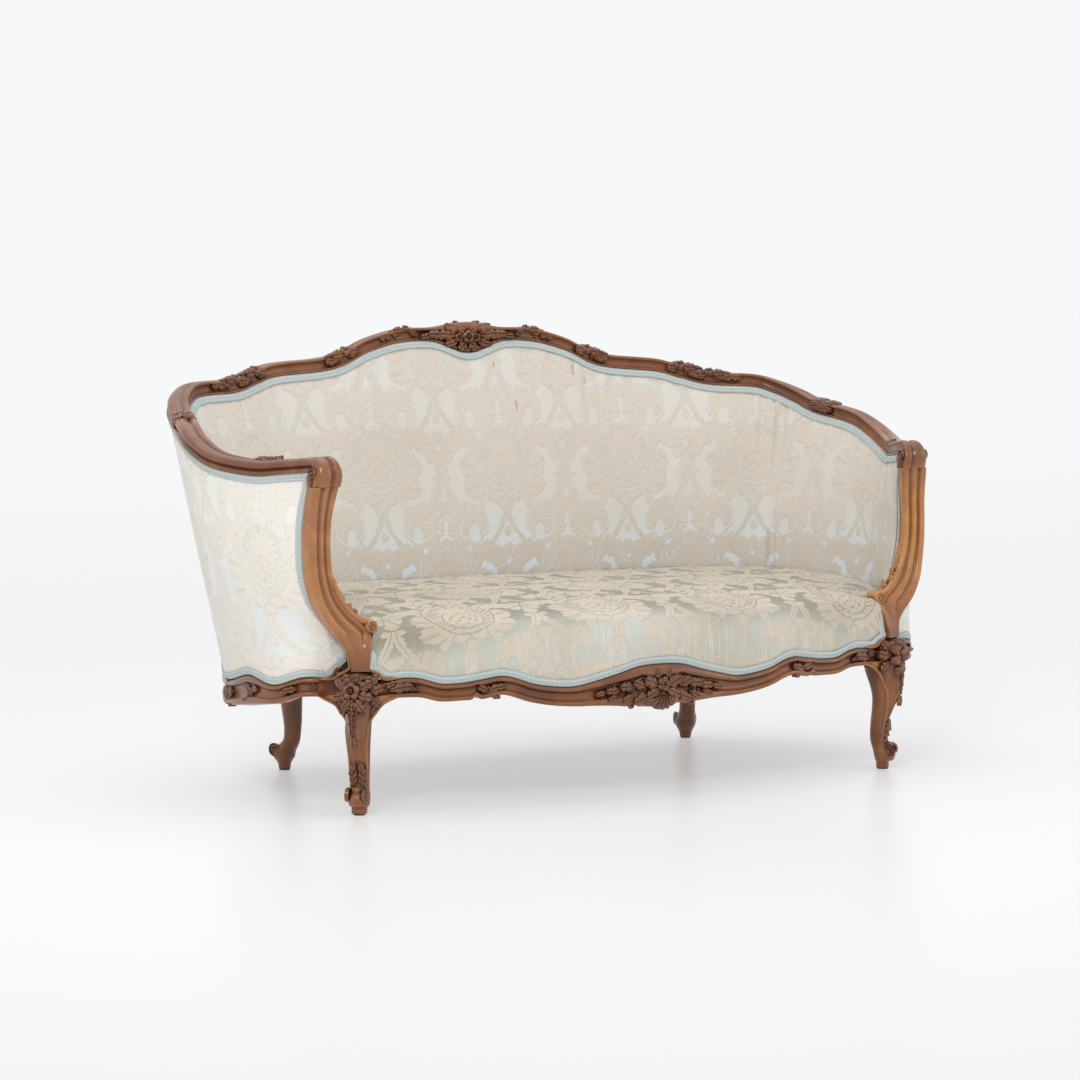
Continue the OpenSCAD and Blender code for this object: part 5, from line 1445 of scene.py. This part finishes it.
def rear_ring(p, sides=40):
    way = SPLAY_WAY
    across = Vector((-way.y, way.x, 0))
    centre = Vector((REAR_X, LEG_DEPTH, blend(GLIDE, LEG_H * .882, p[0]))) + way * (p[1] * SPLAY)
    return [centre + (way * math.cos(t) * p[2] + across * math.sin(t) * p[3]) * ANKLE / 2
            for t in (math.pi / 4 + 2 * math.pi * k / sides for k in range(sides))]


def box_ring(centre, way, half_l, half_w, sides=40):
    across = Vector((-way.y, way.x, 0))
    corners = [(1, 1), (-1, 1), (-1, -1), (1, -1), (1, 1)]
    out = []
    for k in range(sides):
        i, t = divmod(k, sides // 4)
        q = blend(Vector(corners[i]), Vector(corners[i + 1]), t / (sides // 4))
        out.append(centre + way * (q[0] * half_l) + across * (q[1] * half_w))
    return out


at, way = seat_at(LEG_STATION), outward(seat_rows, LEG_STATION)
top_z = rail_under(LEG_STATION) - .006
rear_rows = [box_ring(wall_at(LEG_STATION, blend(at[2], top_z, t), .001), way, .009, .021)
             for t in (1, .66, .33, 0)]
rear_rows += [box_ring(Vector((at[0], at[1], z)), way, BLOCK * .88, BLOCK * .88) for z in (at[2], at[3])]
rear_table = [Vector(p) for p in REAR_LEG]
rear_rows += [rear_ring(along(rear_table, u)) for u in span(0, len(REAR_LEG) - 1, .25)]
both_sides("walnut_rear_leg", rear_rows, walnut, "rear_leg")

# %% [markdown]
# ## Beads and brackets
# A slim bead outlines each leg and runs out along the rails, and thin brackets carry the rails' curve over into the
# leg. The beads are round cords of wood, thinner at both ends, along curves that lie on the leg.


# %% Spots on the legs and rails
def on_leg(z, degrees, proud=0.0):
    """A spot on the right front leg at a height and a turn from its knee's front."""
    share = (z - GLIDE) / (LEG_H - GLIDE)
    p = min((along(leg_rows, u) for u in span(0, len(LEG) - 1, .1)), key=lambda q: abs(q[0] - share))
    c, s = math.cos(math.radians(degrees)), math.sin(math.radians(degrees))
    half = min(p[3] * ANKLE / 2, BLOCK * math.sqrt(2))
    out = FORWARD * c + ACROSS * s
    return (Vector((LEG_X, 0, z)) + FORWARD * (power(c, 2 / p[4]) * KNEE * p[1])
            + ACROSS * (power(s, 2 / p[4]) * half) + out * proud), out


def cord(path, radius, facing, sides=10):
    """Rings of a round bead along a curve, thinner at both ends."""
    rows, end = [], len(path) - 1
    for u in span(0, end, .2):
        at, way = along(path, u), (along(path, min(u + .05, end)) - along(path, max(u - .05, 0))).normalized()
        side = way.cross(facing).normalized()
        up = side.cross(way)
        r = radius * min(1, .3 + 2.5 * math.sin(math.pi * u / end))
        rows.append([at + side * (r * math.cos(a)) + up * (r * math.sin(a))
                     for a in (2 * math.pi * k / sides for k in range(sides))])
    return rows


def face_depth(share):
    """How far out the rail's face stands at a share of its height."""
    return blend(.80, .95, abs(2 * share - 1) ** 2)


def on_side(u, share):
    """A spot on the side rail's face, the way along it and the way out of it."""
    p = seat_at(u)
    out = blend(outward(seat_rows, u), Vector((1, 0, 0)), bump(LAST - u, 1)).normalized()
    way = seat_at(u + .05) - seat_at(u - .05)
    return (Vector((p[0], p[1], blend(p[3], p[2], share))) + out * ((face_depth(share) - .5) * SEAT_RAIL_W),
            Vector(way[:3]).normalized(), out)


FORWARD = Vector((math.cos(math.radians(-45)), math.sin(math.radians(-45)), 0))
ACROSS = Vector((-FORWARD.y, FORWARD.x, 0))
print("the knee stands", round(-on_leg(.26, 0)[0].y, 4), "m in front of the leg's middle")

# %% Beads and brackets of the front legs
low_end, top_end = SEAT_LOW[-1] * LEG_H, SEAT_TOP[-1] * LEG_H
edge_x = LEG_X - BLOCK
front_start = [Vector((edge_x - .044, -.0345, low_end + .003)), Vector((edge_x - .024, -.0310, low_end - .002)),
               Vector((edge_x - .006, -.0280, low_end - .012)), Vector((edge_x + .006, -.0262, low_end - .026))]
side_start = [on_side(16.45, .04)[0], on_side(16.75, 0)[0] - Vector((0, 0, .004)),
              Vector((LEG_X + .0385, .0290, low_end - .014)), Vector((LEG_X + .0310, .0230, low_end - .028))]
BRACKET_T, UNDER = .024, low_end + .006
for name, start, sign, inward in (("front", front_start, -1, Vector((.2, 1, 0))),
                                  ("side", side_start, 1, Vector((-1, .1, 0)))):
    run = start + [on_leg(z, sign * turn, -.001)[0] for z, turn in ((.194, 80), (.175, 70), (.150, 63), (.120, 60),
                                                                    (.090, 60), (.066, 66))]
    both_sides(f"walnut_leg_bead_{name}", cord(run, .0036, FORWARD), walnut)
    web = [along(start + run[4:5], u) for u in span(0, 4, .25)]
    both_sides(f"walnut_leg_bracket_{name}",
               [[v + Vector((0, 0, UNDER - v.z)), v, v + inward * BRACKET_T,
                 v + inward * BRACKET_T + Vector((0, 0, UNDER - v.z))] for v in web], walnut)

# %% Beads of the necks
neck = [post_at(z) for z in (.302, .318, .334)]
neck_front = [Vector((edge_x - .040, -.0315, top_end + .001)), Vector((edge_x - .012, -.0290, top_end + .002)),
              Vector((edge_x + .005, -.0285, top_end + .013))]
neck_side = [on_side(16.5, .93)[0], Vector((LEG_X + .040, .028, top_end + .002)),
             Vector((LEG_X + .037, .008, top_end + .012))]
for name, sign, y, start in (("front", -1, -.020, neck_front), ("side", 1, -.012, neck_side)):
    run = start + [Vector((p[0] + sign * (p[3] / 2 - .002), y, p[2])) for p in neck]
    both_sides(f"walnut_neck_bead_{name}", cord(run, .0042, FORWARD), walnut)

# %% [markdown]
# ## Scroll at the foot of the arm supports
# Each support hooks in over the seat and ends in a scroll. Its body is a short round bar across the wood with a volute
# on its face, a cord of wood sweeps down into it, and small leaves climb the inner edge.

# %% Scroll and leaves of the arm supports
items = []
SCROLL_R = .0135
p = post_at(.384)
out, back = post_axes(p[4])
tip = Vector((p[0], p[1], .386)) - out * (p[3] / 2 - .004)
both_sides("walnut_support_scroll",
           [[tip + back * depth + (out * math.cos(a) + UP * math.sin(a)) * (SCROLL_R * size)
             for a in (2 * math.pi * k / 24 for k in range(24))]
            for depth, size in ((-.0100, .72), (-.0090, .92), (-.0070, 1), (POST_D * .92, 1))], walnut_warm)
items.append((DISC, tip - back * .0092, out, -back, .0105, .0105, .008))
sweep = [tip + UP * .006 - out * .002 - back * .002]
for z, inside in ((.402, .46), (.424, .44), (.450, .42), (.480, .40)):
    p = post_at(z)
    out, back = post_axes(p[4])
    sweep.append(Vector((p[0], p[1], z)) - out * (p[3] * inside) + back * .001)
both_sides("walnut_support_sweep", cord(sweep, .0062, -out), walnut_warm)
for k in range(7):
    z = .400 + .0125 * k
    p = post_at(z)
    out, back = post_axes(p[4])
    items.append((LEAF, Vector((p[0], p[1], z)) - out * (p[3] * .485) + back * (POST_D * (.30 + .03 * (k % 2))),
                  UP + out * .45 - back * (.5 if k % 2 else -.2), UP * .2 - out - back * .3, .024, .024, .014))
carve("arm_support_carving", items, True, walnut_warm)

# %% [markdown]
# ## Carving of the legs
# Each knee has a flower between leaves, with a string of small flowers and a bellflower under it. More leaves rise
# from the foot, whose scroll ends in a volute on both sides.

# %% Carving of the front legs
items = []
for z, turn, degrees, length, wide in (
        (.262, 18, 18, .036, .036), (.254, 16, -22, .036, .034), (.270, 14, 52, .026, .028),
        (.246, 10, -62, .034, .030), (.256, 52, 4, .034, .034), (.246, 58, -34, .030, .028),
        (.268, 56, 30, .030, .028), (.232, 22, -58, .026, .024)):
    for flip in (1, -1):
        spot, out = on_leg(z, flip * turn, -.0015)
        items.append((LEAF, spot, turned(ACROSS, degrees, flip), out, length, flip * wide, .034))
spot, out = on_leg(.260, 0, .003)
items.append((FLOWER, spot, UP, FORWARD + UP * .1, .0185, .0185, .020))
for flip in (1, -1):
    spot, out = on_leg(.284, flip * 12, -.001)
    items.append((SCROLL, spot, -ACROSS * flip, out + UP * .2, .018, flip * .018, .018))
for k in range(8):
    z, size = .238 - .0095 * k, .0098 - .0007 * k
    spot, out = on_leg(z, (14 - k) * (1 if k % 2 else -1), .001)
    items.append((FLOWER, spot, UP, out, size, size, size))
    spot, out = on_leg(z - .002, (14 - k) * (-1.6 if k % 2 else 1.6), 0)
    items.append((BERRY, spot, UP, out, size * .45, size * .45, size * .5))
spot, out = on_leg(.166, 0, -.001)
items.append((BELL, spot, -UP, out, .024, .020, .022))
for z, length, wide in ((.112, .032, .018), (.096, .028, .022), (.080, .024, .020)):
    for flip in (1, -1):
        spot, out = on_leg(z, flip * 8, -.0015)
        items.append((LEAF, spot, -UP + ACROSS * (flip * .4), out, length, flip * wide, .022))
items.append((BERRY, on_leg(.049, 0, -.009)[0], UP, FORWARD, .0135, .0135, .015))
for flip in (1, -1):
    items.append((DISC, Vector((LEG_X, 0, .043)) + FORWARD * (KNEE * .40) + ACROSS * (flip * .0180), FORWARD,
                  ACROSS * flip, .0150, .0150, .011))
carve("front_leg_carving", items)

# %% Volutes of the rear feet
items = []
across = Vector((-SPLAY_WAY.y, SPLAY_WAY.x, 0))
for flip in (1, -1):
    items.append((DISC, Vector((REAR_X, LEG_DEPTH, .046)) + SPLAY_WAY * .009 + across * (flip * .0215), SPLAY_WAY,
                  across * flip, .0155, .0155, .012))
carve("rear_leg_carving", items)

# %% [markdown]
# ## Carving of the seat rails
# The front rail has a shell under a bunch of flowers, with leaves and berries to both sides, and a scroll on its lower
# edge. The side rails have a flower between leaves in the middle, and leaves towards their ends.


# %% Carving of the front rail
def on_front(u, share):
    """A spot on the front rail's face, the way along it and the way out of it."""
    p, out = front_at(u), front_out(u)
    proud = SHELL_PROUD * bump(p[0], SHELL_HALF) * min(1, 2 * math.sin(math.pi * share))
    way = front_at(u + .05) - front_at(u - .05)
    return (Vector((p[0], p[1], blend(p[3], p[2], share))) + out * ((face_depth(share) - 1) * SEAT_RAIL_W + proud),
            Vector(way[:3]).normalized(), out)


items = []
for u, share, degrees, length, wide, source in (
        (.16, .52, 14, .040, .040, LEAF), (.16, .44, -34, .036, .034, LEAF), (.12, .66, 58, .024, .026, LEAF),
        (.75, .50, 20, .034, .032, LEAF), (.72, .30, -28, .036, .032, LEAF), (1.25, .56, 4, .036, .032, LEAF),
        (1.30, .34, -22, .030, .026, LEAF), (1.95, .50, 6, .034, .028, LEAF), (2.10, .34, -16, .024, .022, LEAF),
        (2.60, .50, -4, .026, .020, LEAF), (14.2, .46, 176, .050, .034, LEAF),
        (13.5, .50, 180, .040, .026, FROND), (14.6, .66, 158, .026, .024, LEAF)):
    for flip in (1, -1):
        spot, way, out = on_front(flip * u, share)
        items.append((source, spot + out * .0018, turned(way, degrees, flip), out, length, flip * wide, .036))
for u, share, size in ((.58, .74, .0085), (.56, .26, .0100), (1.02, .62, .0110), (1.00, .36, .0075),
                       (1.70, .62, .0080), (2.45, .58, .0060)):
    for flip in (1, -1):
        spot, way, out = on_front(flip * u, share)
        items.append((FLOWER, spot + out * .002, way, out, size, size, size))
for u, share in ((.34, .84), (.80, .70), (1.35, .72), (1.50, .42), (2.2, .66), (1.9, .36)):
    for flip in (1, -1):
        spot, way, out = on_front(flip * u, share)
        items.append((BERRY, spot, way, out, .0046, .0046, .005))
spot, way, out = on_front(0, .55)
items.append((FLOWER, spot + out * .005, way, out, .0165, .0165, .018))
items.append((FLOWER, spot + out * .010, UP, out, .0095, .0095, .012))
spot, way, out = on_front(0, .30)
items.append((SHELL, spot, -UP, out, .034, .040, .034))
for flip in (1, -1):
    spot, way, out = on_front(flip * 1.46, .02)
    items.append((SCROLL, spot + way * (flip * .010), -way * flip, out, .028, -flip * .024, .024))
    spot, way, out = on_front(flip * 8.75, .42)
    for degrees, length in ((172, .036), (215, .030), (20, .024)):
        items.append((LEAF, spot, turned(way, degrees, flip), out, length, flip * .028, .034))
    items.append((FLOWER, spot + out * .001, way, out, .0095, .0095, .010))
carve("front_rail_carving", items, False)

# %% Carving of the side rails
items = []
for u, share, degrees, length, wide in (
        (12.62, .52, 8, .036, .034), (12.38, .50, 172, .036, .034), (12.5, .68, 70, .024, .026),
        (12.5, .38, -70, .018, .024), (12.56, .38, -35, .032, .030), (12.44, .38, -145, .032, .030),
        (14.0, .50, 165, .034, .028), (14.0, .28, 205, .028, .024), (14.1, .52, 20, .026, .024),
        (16.4, .50, 178, .046, .034), (15.8, .52, 180, .034, .024)):
    spot, way, out = on_side(u, share)
    items.append((LEAF, spot, turned(way, degrees), out, length, wide, .034))
for u, share, size, proud in ((12.5, .50, .019, .003), (12.5, .50, .010, .008), (14.05, .44, .0095, .003),
                              (16.2, .66, .006, .003)):
    spot, way, out = on_side(u, share)
    items.append((FLOWER, spot + out * proud, way, out, size, size, size))
carve("side_rail_carving", items)

# %% [markdown]
# ## Hidden pieces
# The CAD solids of the inner frame, webbing, springs and glides already have the right shape. They only get their
# materials.

# %% Materials of the hidden pieces
kept = {beech: ("back_upright", "side_upright_left", "side_upright_right", "back_stay_rail", "side_stay_rail_left",
                "side_stay_rail_right", "seat_braces", "corner_blocks"),
        jute: ("seat_webbing",), steel: ("seat_springs",), linen: ("spring_canvas", "back_canvas"),
        iron: ("foot_glides",)}
for material, names in kept.items():
    for name in names:
        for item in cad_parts[name].material_slots:
            item.material = material
    print(material.name, "on", len(names), "CAD nodes")

# %% [markdown]
# ## Studio
# The photograph was taken in a white studio with soft light all round. A pale floor keeps the shadow, lightened near
# the sofa by a painted glow, and the camera sees the background as plain near-white by Light Path.

# %% Floor
deselect()
bpy.ops.mesh.primitive_plane_add(size=40, location=(0, 0, 0))
floor = bpy.context.object
floor.name = "studio_floor"
material, tree, shader = surface("pale studio floor")
shader.inputs["Base Color"].default_value = linear("#f2f2f2")
shader.inputs["Roughness"].default_value = .3
shader.inputs["Specular IOR Level"].default_value = .3
# away from the sofa the floor runs over into the plain backdrop, as a paper roll does; near the sofa, 42 per cent of
# what the camera sees is a painted glow that lightens the shadow under it
spot = add(tree, "SeparateXYZ", None, {0: add(tree, "TexCoord").outputs["Object"]})
glow_share = formula(tree, "0.42 + 0.58 * soft(1.1, 3.4, sqrt(x * x + y * y))", x=spot.outputs[0], y=spot.outputs[1])
tone = add(tree, "MixRGB", None, {0: formula(tree, "soft(3, 14, y)", y=spot.outputs[1]), 1: linear("#f3f3f3"),
                                  2: linear("#f7f8fa")}).outputs[0]
paper = add(tree, "Emission", None, {"Color": tone, "Strength": 1.0})
rays = add(tree, "LightPath")
seen = formula(tree, "f * max(max(c, g), t)", f=glow_share, c=rays.outputs["Is Camera Ray"], g=rays.outputs["Is Glossy Ray"],
               t=rays.outputs["Is Transmission Ray"])
roll = add(tree, "MixShader", None, {0: seen, 1: shader.outputs[0], 2: paper.outputs[0]})
tree.links.new(roll.outputs[0], tree.nodes["Material Output"].inputs["Surface"])
floor.data.materials.append(material)

# %% World
world = bpy.data.worlds.new("studio")
bpy.context.scene.world = world
world.use_nodes = True
sky = world.node_tree
backdrop = sky.nodes["Background"]
path = add(sky, "LightPath")
seen = formula(sky, "max(max(c, g), t)", c=path.outputs["Is Camera Ray"], g=path.outputs["Is Glossy Ray"],
               t=path.outputs["Is Transmission Ray"])
sky.links.new(formula(sky, "0.8 + s * 0.18", s=seen), backdrop.inputs["Strength"])
backdrop.inputs["Color"].default_value = linear("#f9fafc")
print("world of", len(sky.nodes), "nodes")

# %% Lamps
AIM = Vector((0, 0, .5))
for name, place, size, power in (("key", (-3.2, -3.4, 3.6), 1.6, 88), ("fill", (3.6, -3.0, 2.2), 3.0, 30),
                                 ("top", (0, .5, 4.2), 3.5, 45)):
    lamp = bpy.data.objects.new(name, bpy.data.lights.new(name, "AREA"))
    lamp.data.size, lamp.data.energy = size, power
    lamp.location = place
    lamp.rotation_euler = (AIM - Vector(place)).to_track_quat("-Z", "Y").to_euler()
    bpy.context.collection.objects.link(lamp)
    print("lamp:", name, power, "W")

# %% [markdown]
# The camera stands where the photographer's stood. Its place, turn and lens were solved from points that the left and
# right halves of the sofa share in the photograph.

# %% Camera
camera = bpy.data.cameras.new("camera")
camera.lens, camera.sensor_width = 106.0, 36
eye = bpy.data.objects.new("camera", camera)
eye.location = (-3.4591, -5.7905 + FEET_Y, 1.0663)
eye.rotation_euler = (math.radians(85.515), 0, math.radians(-29.16))
bpy.context.collection.objects.link(eye)
bpy.context.scene.camera = eye
bpy.context.scene.view_settings.view_transform = "Standard"
print("camera", round(eye.location.length, 2), "m from the sofa, lens", camera.lens, "mm")
